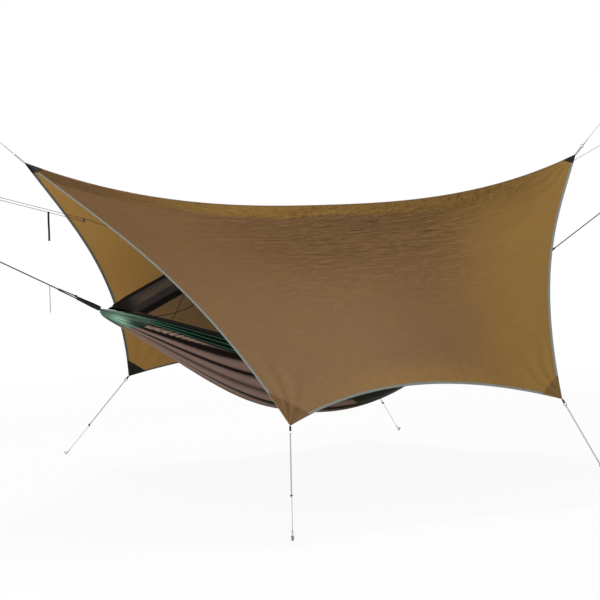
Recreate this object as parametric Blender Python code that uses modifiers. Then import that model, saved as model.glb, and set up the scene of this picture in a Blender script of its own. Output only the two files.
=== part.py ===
"""Travel hammock with a mosquito net, pitched under a wing tarp between two trees.

Everything is in metres with +Z up. The origin is the eye of the hammock rope at the left
tree, +X runs towards the right tree and +Y away from the tarp's near side. The frame
`spot` counts from the middle between the tarp's two ridge ends, which is where the pitch
is laid out from.
"""
import math

import bmesh
import bpy
from mathutils import Matrix, Vector

# Fits
GAP = 0.0003            # between pieces that touch
SEAM_GAP = 0.0006       # between sewn cloth pieces that bend together
CORD_PLAY = 0.0005      # round a cord that runs through a hole

# Pitch: where the trees hold the lines, from the middle of the ridge
ORIGIN_TO_MIDDLE = 1.866
ORIGIN_BELOW_RIDGE = 0.422
RIGHT_TREE = Vector((1.953, 0.0, -0.248))
RIDGE_CORD_LEFT_END = Vector((-1.843, 0.0, 0.186))
RIDGE_CORD_RIGHT_END = Vector((1.957, 0.0, 0.335))
NET_CORD_LEFT_END = Vector((-1.855, 0.0, -0.143))
NET_CORD_RIGHT_END = Vector((1.956, 0.0, 0.122))
GROUND = -1.72

# Tarp
RIDGE_HALF = 1.625
RIDGE_SAG = 0.248
RIDGE_SAG_POWER = 2.517
CORNER_X = 0.745
CORNER_Y = 1.079
CORNER_DROP = 1.220
SIDE_BOW = Vector((0.034, 0.097, 0.122))
SIDE_BOW_SKEW = -0.465
HEM_BOW_IN = 0.152
HEM_BOW_UP = 0.111
TARP_THICK = 0.0016
BINDING_WIDTH = 0.016
BINDING_THICK = 0.003
TIP_CLEAR = 0.0022      # the bindings stop this far from the ridge line
SEAM_HALF = 0.008
PATCH_SIDE = 0.125
PATCH_THICK = 0.0026
PATCH_CELLS = 3
TARP_CELLS_LONG = 12
TARP_CELLS_DOWN = 6

# Corner tie-outs
WEBBING_THICK = 0.0012
WEBBING_WIDTH = 0.008
RIDGE_TIE_LENGTH = 0.060
CORNER_TIE_LENGTH = 0.020
CORNER_SEAT = 0.0009    # a loop starts this far past its corner, below 0 inside it
RIDGE_SEAT = -0.0026
RING_RADIUS = 0.0085
RING_WIRE = 0.0015

# Cords
GUY_RADIUS = 0.00125
NET_CORD_RADIUS = 0.0012
ROPE_RADIUS = 0.003
GUY_SPACING = 0.0075
NET_CORD_SPACING = 0.012
ADJUSTER_PLACE = 0.64
ADJUSTER_THICK = 0.005
ADJUSTER_WALL = 0.0035
NET_ADJUSTER_X = -1.334
RIDGE_EYE = 0.045
TREE_EYE = 0.070
TREE_EYE_BAR = 0.008
KNOT_GIRTH = 2.1
NET_EYE = 0.045
NET_CORD_MERGE = 0.035
CORD_STEPS = 6
EYE_STEPS = 8

# Guy lines: how far each peg stands out from its corner
GUY_REACH = {
    "near_left": (0.05, 0.10),
    "near_right": (0.12, 0.34),
    "far_left": (0.25, 0.46),
    "far_right": (0.36, 0.12),
}

# Pegs
PEG_RADIUS = 0.003
PEG_HEAD_RADIUS = 0.0075
PEG_HEAD_THICK = 0.003
PEG_LENGTH = 0.170
PEG_NECK = 0.001
PEG_POINT = 0.015
PEG_PROUD = 0.016
PEG_LEAN = 30.0
PEG_EYE = 0.040

# Hammock bed
BED_LEFT = Vector((-1.265, 0.0, -0.730))
BED_RIGHT = Vector((1.270, 0.0, -0.655))
RIM_OUT = 0.290
RIM_SAG = 0.278
RIM_LIFT = 0.0405       # the net pulls the rims up towards the ends of its slopes
RIM_LIFT_SHARE = 0.36
BED_DEPTH = 0.256
BED_DEPTH_POWER = 1.41
BED_END_DEPTH = 0.119
BED_END_POWER = 0.34
BED_END_HALF = 0.009
BED_END_BULGE = 0.030
BED_THICK = 0.002
PLEATS = 12
PLEAT_DEPTH = 0.011
PLEAT_CELLS = 3
GATHER_SHARE = 0.065
BAND_SHARE = 0.167
FOOT_START = 0.585
FOOT_SLANT = 0.15
CENTRE_CELLS = 12
FOOT_CELLS = 10
GATHER_CELLS = 4

# Whipping sleeves at the bed ends
SLEEVE_LENGTH = 0.130
SLEEVE_MOUTH_RADIUS = 0.0115
SLEEVE_TIP_RADIUS = 0.0085
ROPE_SPLIT = 0.100
TAIL_FROM_SPLIT = 0.055
TAIL_LENGTH = 0.160

# Mosquito net
NET_PEAK_LEFT = Vector((-0.676, 0.0, -0.469))
NET_PEAK_RIGHT = Vector((0.700, 0.0, -0.453))
NET_MARGIN = 0.02
NET_END_LIFT = 0.004
NET_SLACK = 0.025
NET_SLOPE_CELLS = 8
NET_LEVEL_CELLS = 10
NET_EYE_ROOM = 0.008
RIM_CLEAR = 0.0015      # a bed rim's facets rise this far towards what is sewn on it
NET_THICK = 0.0016
NET_TAPE_DEPTH = 0.036
NET_TAPE_RISE = 0.009
NET_TAPE_THICK = 0.0024
NET_EYE_BAR = 0.002
NET_EYE_BEND = 0.0024
NET_TOP_DROP = 0.010
ZIP_HEIGHT = 0.012
ZIP_THICK = 0.0024
ZIP_FROM = 0.04
ZIP_TO = 0.96
ZIP_CELLS = 46
SLIDER_LENGTH = 0.012
SLIDER_HEIGHT = 0.009
SLIDER_THICK = 0.004
SLIDER_TAB = 0.026

# Pull strap on the net cord and the toggle under the bed
STRAP_X = -1.511
STRAP_LENGTH = 0.140
STRAP_WIDTH = 0.010
STRAP_THICK = 0.0015
TOGGLE_X = -0.301
TOGGLE_AT = -0.11
TOGGLE_CORD = 0.0015
TOGGLE_RADIUS = 0.005
TOGGLE_LOOP = 0.012

SIDES = {"near": -1.0, "far": 1.0}
ENDS = {"left": -1.0, "right": 1.0}

OLIVE_BROWN = (0.30, 0.19, 0.09)
BINDING_GREY = (0.42, 0.42, 0.38)
PATCH_BROWN = (0.10, 0.06, 0.03)
PATCH_NAVY = (0.02, 0.022, 0.03)
MAUVE_BROWN = (0.28, 0.19, 0.16)
BOTTLE_GREEN = (0.05, 0.12, 0.08)
NET_BLACK = (0.02, 0.02, 0.02)
CORD_GREY = (0.40, 0.41, 0.42)
ROPE_GREY = (0.14, 0.14, 0.15)
WEBBING_BLACK = (0.03, 0.03, 0.035)
RING_WHITE = (0.85, 0.85, 0.85)
PLASTIC_BLACK = (0.025, 0.025, 0.025)
PEG_METAL = (0.60, 0.61, 0.62)


def spot(x, y, z):
    """A point counted from the middle of the ridge, in the object's own frame."""
    return Vector((x + ORIGIN_TO_MIDDLE, y, z + ORIGIN_BELOW_RIDGE))


def placed(vector):
    """The same for a vector."""
    return spot(vector.x, vector.y, vector.z)


def clear_scene():
    """Empties the scene."""
    for item in list(bpy.data.objects):
        bpy.data.objects.remove(item, do_unlink=True)


def material(name, colour, roughness, metallic=0.0):
    """A plain Principled material, made once."""
    found = bpy.data.materials.get(name)
    if found:
        return found
    made = bpy.data.materials.new(name)
    made.use_nodes = True
    shader = made.node_tree.nodes["Principled BSDF"]
    shader.inputs["Base Color"].default_value = (*colour, 1.0)
    shader.inputs["Roughness"].default_value = roughness
    shader.inputs["Metallic"].default_value = metallic
    return made


def link(name, data, look, parent=None, matrix=None):
    """Makes a named object in the hammock's collection."""
    item = bpy.data.objects.new(name, data)
    bpy.data.collections["travel_hammock"].objects.link(item)
    item.data.materials.append(look)
    if matrix is not None:
        item.matrix_world = matrix
    if parent is not None:
        world = item.matrix_world.copy()
        item.parent = parent
        item.matrix_parent_inverse = parent.matrix_world.inverted()
        item.matrix_world = world
    return item


def solidify(item, thickness):
    """Gives an open sheet its thickness, half to each side."""
    skin = item.modifiers.new("thickness", "SOLIDIFY")
    skin.thickness = thickness
    skin.offset = 0.0
    return item


def axes(forward, side):
    """A rotation whose Z runs along `forward` and whose X lies towards `side`."""
    z = forward.normalized()
    y = z.cross(side).normalized()
    x = y.cross(z)
    return Matrix((x, y, z)).transposed().to_4x4()


def sheet(name, cells, shape, thickness, look, parent=None, cuts=()):
    """A grid of cells bent by `shape`, which takes a cell count each way to a point.

    Each cut is a point and a direction in cell counts: what lies past it is taken off.
    """
    columns, rows = cells
    bm = bmesh.new()
    bmesh.ops.create_grid(bm, x_segments=columns, y_segments=rows, size=0.5)
    for vert in bm.verts:
        vert.co = Vector(((vert.co.x + 0.5) * columns, (vert.co.y + 0.5) * rows, 0.0))
    for point, direction in cuts:
        geometry = bm.verts[:] + bm.edges[:] + bm.faces[:]
        bmesh.ops.bisect_plane(bm, geom=geometry, dist=0.001, plane_co=(*point, 0.0),
                               plane_no=(*direction, 0.0), clear_outer=True)
    for vert in bm.verts:
        vert.co = shape(vert.co.x, vert.co.y)
    mesh = bpy.data.meshes.new(name)
    bm.to_mesh(mesh)
    bm.free()
    mesh.shade_smooth()
    return solidify(link(name, mesh, look, parent), thickness)


def tube(name, runs, radius, look, parent=None, resolution=2):
    """Round cord along one or more runs of points."""
    curve = bpy.data.curves.new(name, "CURVE")
    curve.dimensions = "3D"
    curve.bevel_depth = radius
    curve.bevel_resolution = resolution
    curve.use_fill_caps = True
    for points in runs:
        spline = curve.splines.new("POLY")
        spline.points.add(len(points) - 1)
        for place, point in zip(spline.points, points):
            place.co = (*point, 1.0)
    return link(name, curve, look, parent)


def along(start, end, steps):
    """Evenly spaced points from start to end."""
    return [start.lerp(end, index / steps) for index in range(steps + 1)]


def arc_points(centre, first, second, radius, start, stop, steps):
    """Points on an arc in the plane of two directions, angles in degrees."""
    points = []
    for index in range(steps + 1):
        angle = math.radians(start + (stop - start) * index / steps)
        points.append(centre + first * radius * math.cos(angle) + second * radius * math.sin(angle))
    return points


def eye(knot, tip, normal, bar_radius, cord_radius):
    """A teardrop of cord from a knot round a bar whose axis crosses its plane at `tip`."""
    forward = (tip - knot).normalized()
    side = normal.cross(forward).normalized()
    bend = bar_radius + cord_radius + GAP
    start = cord_radius * 1.2
    out = [knot + side * start]
    back = [knot - side * start]
    turn = arc_points(tip, side, forward, bend, 0.0, 180.0, EYE_STEPS)
    return out + turn + back


def outline(name, loops, half_depth, look, matrix, parent=None):
    """A flat plate from closed outlines, the later ones holes, centred on its plane."""
    curve = bpy.data.curves.new(name, "CURVE")
    curve.dimensions = "2D"
    curve.fill_mode = "BOTH"
    curve.extrude = half_depth
    for points in loops:
        spline = curve.splines.new("POLY")
        spline.points.add(len(points) - 1)
        for place, point in zip(spline.points, points):
            place.co = (point[0], point[1], 0.0, 1.0)
        spline.use_cyclic_u = True
    return link(name, curve, look, parent, matrix)


def stadium(start, end, radius, steps=6):
    """A slot outline along X from start to end, rounded with `radius`."""
    points = []
    for centre, first in ((end, -90.0), (start, 90.0)):
        for index in range(steps + 1):
            angle = math.radians(first + 180.0 * index / steps)
            points.append((centre + radius * math.cos(angle), radius * math.sin(angle)))
    return points


def closed_mesh(item):
    """An object's evaluated mesh in world space, with its caps welded on."""
    bpy.context.view_layer.update()
    graph = bpy.context.evaluated_depsgraph_get()
    mesh = bpy.data.meshes.new_from_object(item.evaluated_get(graph))
    mesh.transform(item.matrix_world)
    bm = bmesh.new()
    bm.from_mesh(mesh)
    bmesh.ops.remove_doubles(bm, verts=bm.verts, dist=0.00001)
    bm.to_mesh(mesh)
    bm.free()
    return mesh


def fused(name, items, look, parent=None):
    """Unites objects into one body. The first gives the mesh and the rest are its tools."""
    meshes = [closed_mesh(item) for item in items]
    for item in items:
        bpy.data.objects.remove(item, do_unlink=True)
    meshes[0].name = name
    meshes[0].materials.clear()
    body = link(name, meshes[0], look, parent)
    for mesh in meshes[1:]:
        tool = bpy.data.objects.new(name + "_tool", mesh)
        bpy.data.collections["cutters"].objects.link(tool)
        tool.hide_render = True
        tool.display_type = "WIRE"
        union = body.modifiers.new("unite", "BOOLEAN")
        union.operation = "UNION"
        union.object = tool
    return body


# Tarp

def ridge_point(a):
    """The ridge, from its left end at 0 to its right end at 1."""
    reach = 2.0 * a - 1.0
    return Vector((RIDGE_HALF * reach, 0.0, -RIDGE_SAG * (1.0 - abs(reach) ** RIDGE_SAG_POWER)))


def side_point(b, end):
    """The near panel's side edge, from the ridge at 0 to the lower corner at 1."""
    top = Vector((end * RIDGE_HALF, 0.0, 0.0))
    low = Vector((end * CORNER_X, -CORNER_Y, -CORNER_DROP))
    bow = Vector((-end * SIDE_BOW.x, SIDE_BOW.y, SIDE_BOW.z))
    pull = 4.0 * b * (1.0 - b) * (1.0 + SIDE_BOW_SKEW * (1.0 - 2.0 * b))
    return top.lerp(low, b) + bow * pull


def hem_point(a):
    """The near panel's bottom edge, from its left corner at 0 to its right corner at 1."""
    pull = 4.0 * a * (1.0 - a)
    return Vector((CORNER_X * (2.0 * a - 1.0), -CORNER_Y + HEM_BOW_IN * pull,
                   -CORNER_DROP + HEM_BOW_UP * pull))


def panel_point(a, b):
    """The near panel between its four edges."""
    left, right = side_point(b, -1.0), side_point(b, 1.0)
    top, low = ridge_point(a), hem_point(a)
    corners = ((ridge_point(0.0) * (1.0 - a) + ridge_point(1.0) * a) * (1.0 - b)
               + (hem_point(0.0) * (1.0 - a) + hem_point(1.0) * a) * b)
    return left * (1.0 - a) + right * a + top * (1.0 - b) + low * b - corners


def edge_share(a, b, across, width):
    """The share of the panel that a strip of `width` takes at its edge."""
    step = 0.001
    a_low, b_low = min(a, 1.0 - step), min(b, 1.0 - step)
    base = panel_point(a_low, b_low)
    run_a = (panel_point(a_low + step, b_low) - base) / step
    run_b = (panel_point(a_low, b_low + step) - base) / step
    spread = run_a.cross(run_b).length
    length = run_b.length if across == "a" else run_a.length
    return width * length / spread


def inset_row(a, b):
    """The panel's own rows, between its ridge seam and its bottom binding."""
    top = edge_share(a, 0.0, "b", SEAM_HALF + SEAM_GAP)
    low = edge_share(a, 1.0, "b", BINDING_WIDTH + SEAM_GAP)
    return top + (1.0 - top - low) * b


def inset_column(a, row):
    """The panel's own columns, between its two side bindings."""
    left = edge_share(0.0, row, "a", BINDING_WIDTH + SEAM_GAP)
    right = edge_share(1.0, row, "a", BINDING_WIDTH + SEAM_GAP)
    return left + (1.0 - left - right) * a


def inset_point(a, b):
    """The panel inside its bindings and its ridge seam."""
    row = inset_row(a, b)
    return panel_point(inset_column(a, row), row)


def cloth_place(column, row):
    """Cell counts on the tarp panel to shares, with small cells at its corners."""
    columns = TARP_CELLS_LONG + 2 * PATCH_CELLS
    rows = TARP_CELLS_DOWN + 2 * PATCH_CELLS
    side = PATCH_SIDE / (side_point(1.0, 1.0) - side_point(0.0, 1.0)).length
    b = graded(row, rows, side)
    wide = 2.0 * (RIDGE_HALF * (1.0 - b) + CORNER_X * b)
    return graded(column, columns, PATCH_SIDE / wide), b


def graded(count, total, end_share):
    """A cell count to a share, with PATCH_CELLS cells in `end_share` at either end."""
    if count <= PATCH_CELLS:
        return end_share * count / PATCH_CELLS
    if count >= total - PATCH_CELLS:
        return 1.0 - end_share * (total - count) / PATCH_CELLS
    middle = total - 2 * PATCH_CELLS
    return end_share + (1.0 - 2.0 * end_share) * (count - PATCH_CELLS) / middle


def mirrored(point, side):
    """The near side's point, or its match on the far side."""
    return spot(point.x, -point.y * side, point.z)


def make_tarp_panel(side_name, look):
    """One half of the tarp, without the triangles of its corner patches."""
    side = SIDES[side_name]
    columns = TARP_CELLS_LONG + 2 * PATCH_CELLS
    rows = TARP_CELLS_DOWN + 2 * PATCH_CELLS

    def shape(column, row):
        return mirrored(inset_point(*cloth_place(column, row)), side)

    cuts = []
    for column, across in ((0, -1.0), (columns, 1.0)):
        for row, down in ((0, -1.0), (rows, 1.0)):
            cuts.append(((column - across * PATCH_CELLS, row), (across, down)))
    sheet("tarp_panel_" + side_name, (columns, rows), shape, TARP_THICK, look, cuts=cuts)


def make_corner_patch(side_name, end_name, look):
    """The doubled triangle of cloth in a lower corner of a panel."""
    side = SIDES[side_name]
    columns = TARP_CELLS_LONG + 2 * PATCH_CELLS
    rows = TARP_CELLS_DOWN + 2 * PATCH_CELLS
    shrink = 1.0 - 1.3 * SEAM_GAP / PATCH_SIDE

    def shape(column, row):
        column, row = column * shrink, row * shrink
        column = column if end_name == "left" else columns - column
        return mirrored(inset_point(*cloth_place(column, rows - row)), side)

    cut = ((PATCH_CELLS, 0.0), (1.0, 1.0))
    name = "corner_patch_" + side_name + "_" + end_name
    return sheet(name, (PATCH_CELLS, PATCH_CELLS), shape, PATCH_THICK, look, cuts=[cut])


def make_binding(side_name, look):
    """The grey tape round a panel's two side edges and its bottom edge, with the panel's cells."""
    side_cells = TARP_CELLS_DOWN + 2 * PATCH_CELLS
    hem_cells = TARP_CELLS_LONG + 2 * PATCH_CELLS
    side = SIDES[side_name]
    corner_a = edge_share(0.0, 1.0, "a", BINDING_WIDTH)
    corner_b = edge_share(0.0, 1.0, "b", BINDING_WIDTH)

    def on_side(count, row):
        if count == side_cells:
            return panel_point(row * corner_a, 1.0 - row * corner_b)
        b = inset_row(0.0, cloth_place(0, count)[1]) if count else edge_share(0.0, 0.0, "b", TIP_CLEAR)
        return panel_point(row * edge_share(0.0, b, "a", BINDING_WIDTH), b)

    def on_hem(count, row):
        a = inset_column(cloth_place(count, side_cells)[0], inset_row(0.0, 1.0))
        return panel_point(a, 1.0 - row * edge_share(a, 1.0, "b", BINDING_WIDTH))

    def shape(column, row):
        column = round(column)
        if column <= side_cells:
            point = on_side(column, row)
        elif column >= side_cells + hem_cells:
            point = on_side(2 * side_cells + hem_cells - column, row)
            point.x = -point.x
        else:
            point = on_hem(column - side_cells, row)
        return mirrored(point, side)

    sheet("edge_binding_" + side_name, (2 * side_cells + hem_cells, 1), shape, BINDING_THICK, look)


def make_ridge_seam(look):
    """The folded tape along the ridge between its two patches, with the panels' cells."""
    cells = TARP_CELLS_LONG

    def shape(column, row):
        a = inset_column(cloth_place(column + PATCH_CELLS, 0)[0], inset_row(0.0, 0.0))
        b = abs(row - 1.0) * edge_share(a, 0.0, "b", SEAM_HALF)
        return mirrored(panel_point(a, b), 1.0 if row > 1.0 else -1.0)

    sheet("tarp_ridge_seam", (cells, 2), shape, BINDING_THICK, look)


def make_ridge_patch(end_name, look):
    """The doubled cloth folded over one end of the ridge."""
    total = TARP_CELLS_LONG + 2 * PATCH_CELLS
    shrink = 1.0 - 1.3 * SEAM_GAP / PATCH_SIDE

    def shape(column, row):
        down = (row - PATCH_CELLS) * shrink
        along_ridge = column * shrink
        column_at = along_ridge if end_name == "left" else total - along_ridge
        place = cloth_place(column_at, abs(down))
        if abs(down) < 0.5:
            return mirrored(panel_point(inset_column(place[0], inset_row(0.0, 0.0)), 0.0), 1.0)
        return mirrored(inset_point(*place), 1.0 if down > 0 else -1.0)

    cuts = [((PATCH_CELLS, PATCH_CELLS), (1.0, 1.0)), ((PATCH_CELLS, PATCH_CELLS), (1.0, -1.0))]
    sheet("ridge_patch_" + end_name, (PATCH_CELLS, 2 * PATCH_CELLS), shape, PATCH_THICK, look, cuts=cuts)


def make_tarp(looks):
    """Both panels with their seam, bindings and corner patches."""
    make_ridge_seam(looks["seam"])
    for side_name in SIDES:
        make_tarp_panel(side_name, looks["tarp"])
        make_binding(side_name, looks["binding"])
        for end_name in ENDS:
            make_corner_patch(side_name, end_name, looks["patch_" + side_name])
    for end_name in ENDS:
        make_ridge_patch(end_name, looks["patch_far"])


# Tie-outs and cords

def knot_mesh(centre, direction, radius):
    """A small barrel knot on a cord of `radius`."""
    bm = bmesh.new()
    bmesh.ops.create_uvsphere(bm, u_segments=8, v_segments=6, radius=1.0)
    size = Matrix.Diagonal((radius * KNOT_GIRTH, radius * KNOT_GIRTH, knot_half(radius), 1.0))
    bm.transform(axes(direction, Vector((0.3, 1.0, 0.1))) @ size)
    mesh = bpy.data.meshes.new("knot")
    bm.to_mesh(mesh)
    bm.free()
    mesh.shade_smooth()
    item = bpy.data.objects.new("knot", mesh)
    bpy.data.collections["travel_hammock"].objects.link(item)
    item.matrix_world = Matrix.Translation(centre)
    return item


def knot_half(radius):
    """Half the length of a knot on a cord of `radius`."""
    return radius * 2.8


def knotted(name, runs, knots, radius, look, parent=None):
    """A cord with its knots as one body: the runs end inside the knots."""
    pieces = [tube("run", [points], radius, look) for points in runs]
    pieces += [knot_mesh(centre, direction, radius) for centre, direction in knots]
    return fused(name, pieces, look, parent)


def make_tie_out(name, tip, direction, seat, length, webbing, plastic):
    """A webbing loop and its ring. Returns the ring's outer point and the cord's side way."""
    side = direction.cross(Vector((0.0, 1.0, 0.0))).normalized()
    across = direction.cross(side).normalized()
    inner = RING_WIRE + CORD_PLAY
    outer = inner + WEBBING_THICK
    ring_near = tip + direction * (seat + length)
    lay = RING_RADIUS - math.sqrt(RING_RADIUS ** 2 - (WEBBING_WIDTH / 2.0) ** 2)
    turn = Matrix((direction, across, direction.cross(across))).transposed().to_4x4()
    loops = [
        stadium(outer - length, 0.0, outer),
        stadium(outer - length + WEBBING_THICK * 2.0, 0.0, inner),
    ]
    outline("tie_loop_" + name, loops, WEBBING_WIDTH / 2.0, webbing, Matrix.Translation(ring_near) @ turn)
    centre = ring_near + direction * (RING_RADIUS - lay)
    bpy.ops.mesh.primitive_torus_add(major_segments=18, minor_segments=6, major_radius=RING_RADIUS,
                                     minor_radius=RING_WIRE)
    ring = bpy.context.active_object
    ring.name = "tie_ring_" + name
    ring.data.shade_smooth()
    ring.data.materials.append(plastic)
    ring.matrix_world = Matrix.Translation(centre) @ axes(across, direction)
    for owner in list(ring.users_collection):
        owner.objects.unlink(ring)
    bpy.data.collections["travel_hammock"].objects.link(ring)
    return centre + direction * RING_RADIUS, across


def make_adjuster(name, centre, direction, across, radius, spacing, look):
    """A small plate that two runs of cord pass through, on an empty on its slide."""
    slide = bpy.data.objects.new("slide_of_" + name, None)
    bpy.data.collections["travel_hammock"].objects.link(slide)
    slide.matrix_world = Matrix.Translation(centre)
    bpy.context.view_layer.update()
    hole = radius + CORD_PLAY
    half = spacing / 2.0
    loops = [stadium(-half, half, hole + ADJUSTER_WALL, 8)]
    for middle in (-half, half):
        loops.append([(middle + hole * math.cos(math.radians(30 * index)),
                       hole * math.sin(math.radians(30 * index))) for index in range(12)])
    place = Matrix.Translation(centre) @ axes(direction, across)
    outline(name, loops, ADJUSTER_THICK / 2.0, look, place, slide)


def turned(name, profile, steps, look, matrix, parent=None):
    """A solid of revolution about its own Z."""
    bm = bmesh.new()
    verts = [bm.verts.new((x, 0.0, z)) for x, z in profile]
    for above, below in zip(verts, verts[1:]):
        bm.edges.new((above, below))
    mesh = bpy.data.meshes.new(name)
    bm.to_mesh(mesh)
    bm.free()
    item = link(name, mesh, look, parent, matrix)
    turn = item.modifiers.new("turn", "SCREW")
    turn.steps = steps
    turn.render_steps = steps
    turn.use_merge_vertices = True
    turn.merge_threshold = 0.0001
    return item


def make_peg(name, top, direction, look):
    """A pin with a flat head, driven in against the pull. `top` is the head's flat face."""
    profile = [
        (0.0, 0.0), (PEG_HEAD_RADIUS, 0.0), (PEG_HEAD_RADIUS, -PEG_HEAD_THICK),
        (PEG_RADIUS, -PEG_HEAD_THICK - PEG_NECK), (PEG_RADIUS, -PEG_LENGTH + PEG_POINT), (0.0, -PEG_LENGTH),
    ]
    turned(name, profile, 12, look, Matrix.Translation(top) @ axes(direction, Vector((1.0, 0.0, 0.0))))


def corner_tip(side_name, end_name):
    """A lower corner of the tarp."""
    return spot(ENDS[end_name] * CORNER_X, SIDES[side_name] * CORNER_Y, -CORNER_DROP)


def peg_foot(side_name, end_name):
    """Where a guy line reaches the ground."""
    out_x, out_y = GUY_REACH[side_name + "_" + end_name]
    tip = corner_tip(side_name, end_name)
    return Vector((tip.x + ENDS[end_name] * out_x, tip.y + SIDES[side_name] * out_y,
                   GROUND + ORIGIN_BELOW_RIDGE))


def bight(start, turn, stop, across, spacing):
    """A doubled cord: up one run from `start`, round at `turn` and back to `stop`."""
    direction = (turn - start).normalized()
    half = across * (spacing / 2.0)
    centre = turn - direction * (spacing / 2.0)
    up = along(start + half, centre + half, CORD_STEPS)[:-1]
    over = arc_points(centre, across, direction, spacing / 2.0, 0.0, 180.0, EYE_STEPS)
    down = along(centre - half, stop - half, 2)[1:]
    return up + over + down


def make_guy(side_name, end_name, looks):
    """One guy line with its adjuster, knots and peg, from its corner of the tarp."""
    corner = side_name + "_" + end_name
    tip = corner_tip(side_name, end_name)
    foot = peg_foot(side_name, end_name)
    pull = (foot - tip).normalized()
    ring_end, across = make_tie_out(corner, tip, pull, CORNER_SEAT, CORNER_TIE_LENGTH, looks["webbing"],
                                    looks["ring_" + corner])
    half = across * (GUY_SPACING / 2.0)
    knot_in = knot_half(GUY_RADIUS) * 0.5
    turn = ring_end - pull * (RING_WIRE + GAP + GUY_RADIUS)
    peg_axis = foot + half - pull * PEG_RADIUS
    low_knot = peg_axis - pull * PEG_EYE
    start = low_knot - half - pull * knot_in
    stop = turn.lerp(start, ADJUSTER_PLACE)
    stopper = stop - half + pull * (ADJUSTER_THICK / 2.0 + GAP + knot_half(GUY_RADIUS))
    up = pull.cross(Vector((0.0, 0.0, 1.0))).cross(pull).normalized()
    runs = [
        bight(start, turn, stopper + half - pull * knot_in, across, GUY_SPACING),
        eye(low_knot + pull * knot_in, peg_axis, up, PEG_RADIUS, GUY_RADIUS),
    ]
    knotted("guy_cord_" + corner, runs, [(low_knot, pull), (stopper, pull)], GUY_RADIUS, looks["guy"])
    make_adjuster("guy_adjuster_" + corner, stop, -pull, across, GUY_RADIUS, GUY_SPACING, looks["plastic"])
    away = Vector((pull.x, pull.y, 0.0)).normalized()
    lean = math.radians(PEG_LEAN)
    stake = Vector((0.0, 0.0, math.cos(lean))) + away * math.sin(lean)
    centre = peg_axis - pull * (PEG_RADIUS * (1.0 / stake.dot(up) - 1.0) * 1.4)
    make_peg("peg_" + corner, centre + stake * PEG_PROUD, stake, looks["peg"])


def tree_eye(tree, pull, radius):
    """The knot and the eye at a tree, with the direction `pull` towards it."""
    last = tree - pull * TREE_EYE
    normal = Vector((0.0, 1.0, 0.0))
    loop = eye(last + pull * knot_half(radius) * 0.5, tree, normal, TREE_EYE_BAR, radius)
    return last, loop


def make_ridge_cord(end_name, looks):
    """The cord from a ridge end to its tree, with an eye at either end."""
    end = ENDS[end_name]
    tip = spot(end * RIDGE_HALF, 0.0, 0.0)
    tree = placed(RIDGE_CORD_LEFT_END if end < 0 else RIDGE_CORD_RIGHT_END)
    pull = (tree - tip).normalized()
    ring_end, across = make_tie_out("ridge_" + end_name, tip, pull, RIDGE_SEAT, RIDGE_TIE_LENGTH,
                                    looks["webbing"], looks["ring_ridge_" + end_name])
    knot_in = pull * (knot_half(GUY_RADIUS) * 0.5)
    first = ring_end + pull * RIDGE_EYE
    last, loop = tree_eye(tree, pull, GUY_RADIUS)
    runs = [
        eye(first - knot_in, ring_end, pull.cross(across), RING_WIRE, GUY_RADIUS),
        along(first + knot_in, last - knot_in, 2),
        loop,
    ]
    knotted("ridge_cord_" + end_name, runs, [(first, pull), (last, pull)], GUY_RADIUS, looks["guy"])


def make_net_cord_left(looks):
    """The net's left cord, doubled from its adjuster to the tree, with a pull strap."""
    peak = placed(NET_PEAK_LEFT)
    tree = placed(NET_CORD_LEFT_END)
    pull = (tree - peak).normalized()
    normal = pull.cross(Vector((0.0, 1.0, 0.0)))
    across = Vector((0.0, 1.0, 0.0)).cross(pull).normalized()
    half = across * (NET_CORD_SPACING / 2.0)
    share = (NET_ADJUSTER_X - NET_PEAK_LEFT.x) / (NET_CORD_LEFT_END.x - NET_PEAK_LEFT.x)
    stop = peak.lerp(tree, share)
    knot_in = pull * (knot_half(NET_CORD_RADIUS) * 0.5)
    peak_knot = peak + pull * NET_EYE
    merge = stop - pull * NET_CORD_MERGE
    stopper = stop - half - pull * (ADJUSTER_THICK / 2.0 + GAP + knot_half(NET_CORD_RADIUS))
    doubled = bight(merge, tree, stopper + half + knot_in, across, NET_CORD_SPACING)
    runs = [
        along(peak_knot + knot_in, merge - pull * NET_CORD_MERGE, 3) + doubled,
        eye(peak_knot - knot_in, peak, normal, NET_EYE_BEND, NET_CORD_RADIUS),
    ]
    knotted("net_cord_left", runs, [(peak_knot, pull), (stopper, pull)], NET_CORD_RADIUS, looks["net_cord"])
    make_adjuster("net_cord_adjuster", stop, pull, across, NET_CORD_RADIUS, NET_CORD_SPACING,
                  looks["plastic"])
    make_pull_strap(stop, tree, half, looks["webbing"])


def make_net_cord_right(looks):
    """The net's right cord, single, with an eye at either end."""
    peak = placed(NET_PEAK_RIGHT)
    tree = placed(NET_CORD_RIGHT_END)
    pull = (tree - peak).normalized()
    knot_in = pull * (knot_half(NET_CORD_RADIUS) * 0.5)
    peak_knot = peak + pull * NET_EYE
    last, loop = tree_eye(tree, pull, NET_CORD_RADIUS)
    runs = [
        eye(peak_knot - knot_in, peak, pull.cross(Vector((0.0, 1.0, 0.0))), NET_EYE_BEND, NET_CORD_RADIUS),
        along(peak_knot + knot_in, last - knot_in, CORD_STEPS),
        loop,
    ]
    knotted("net_cord_right", runs, [(peak_knot, pull), (last, pull)], NET_CORD_RADIUS, looks["net_cord"])


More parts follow.
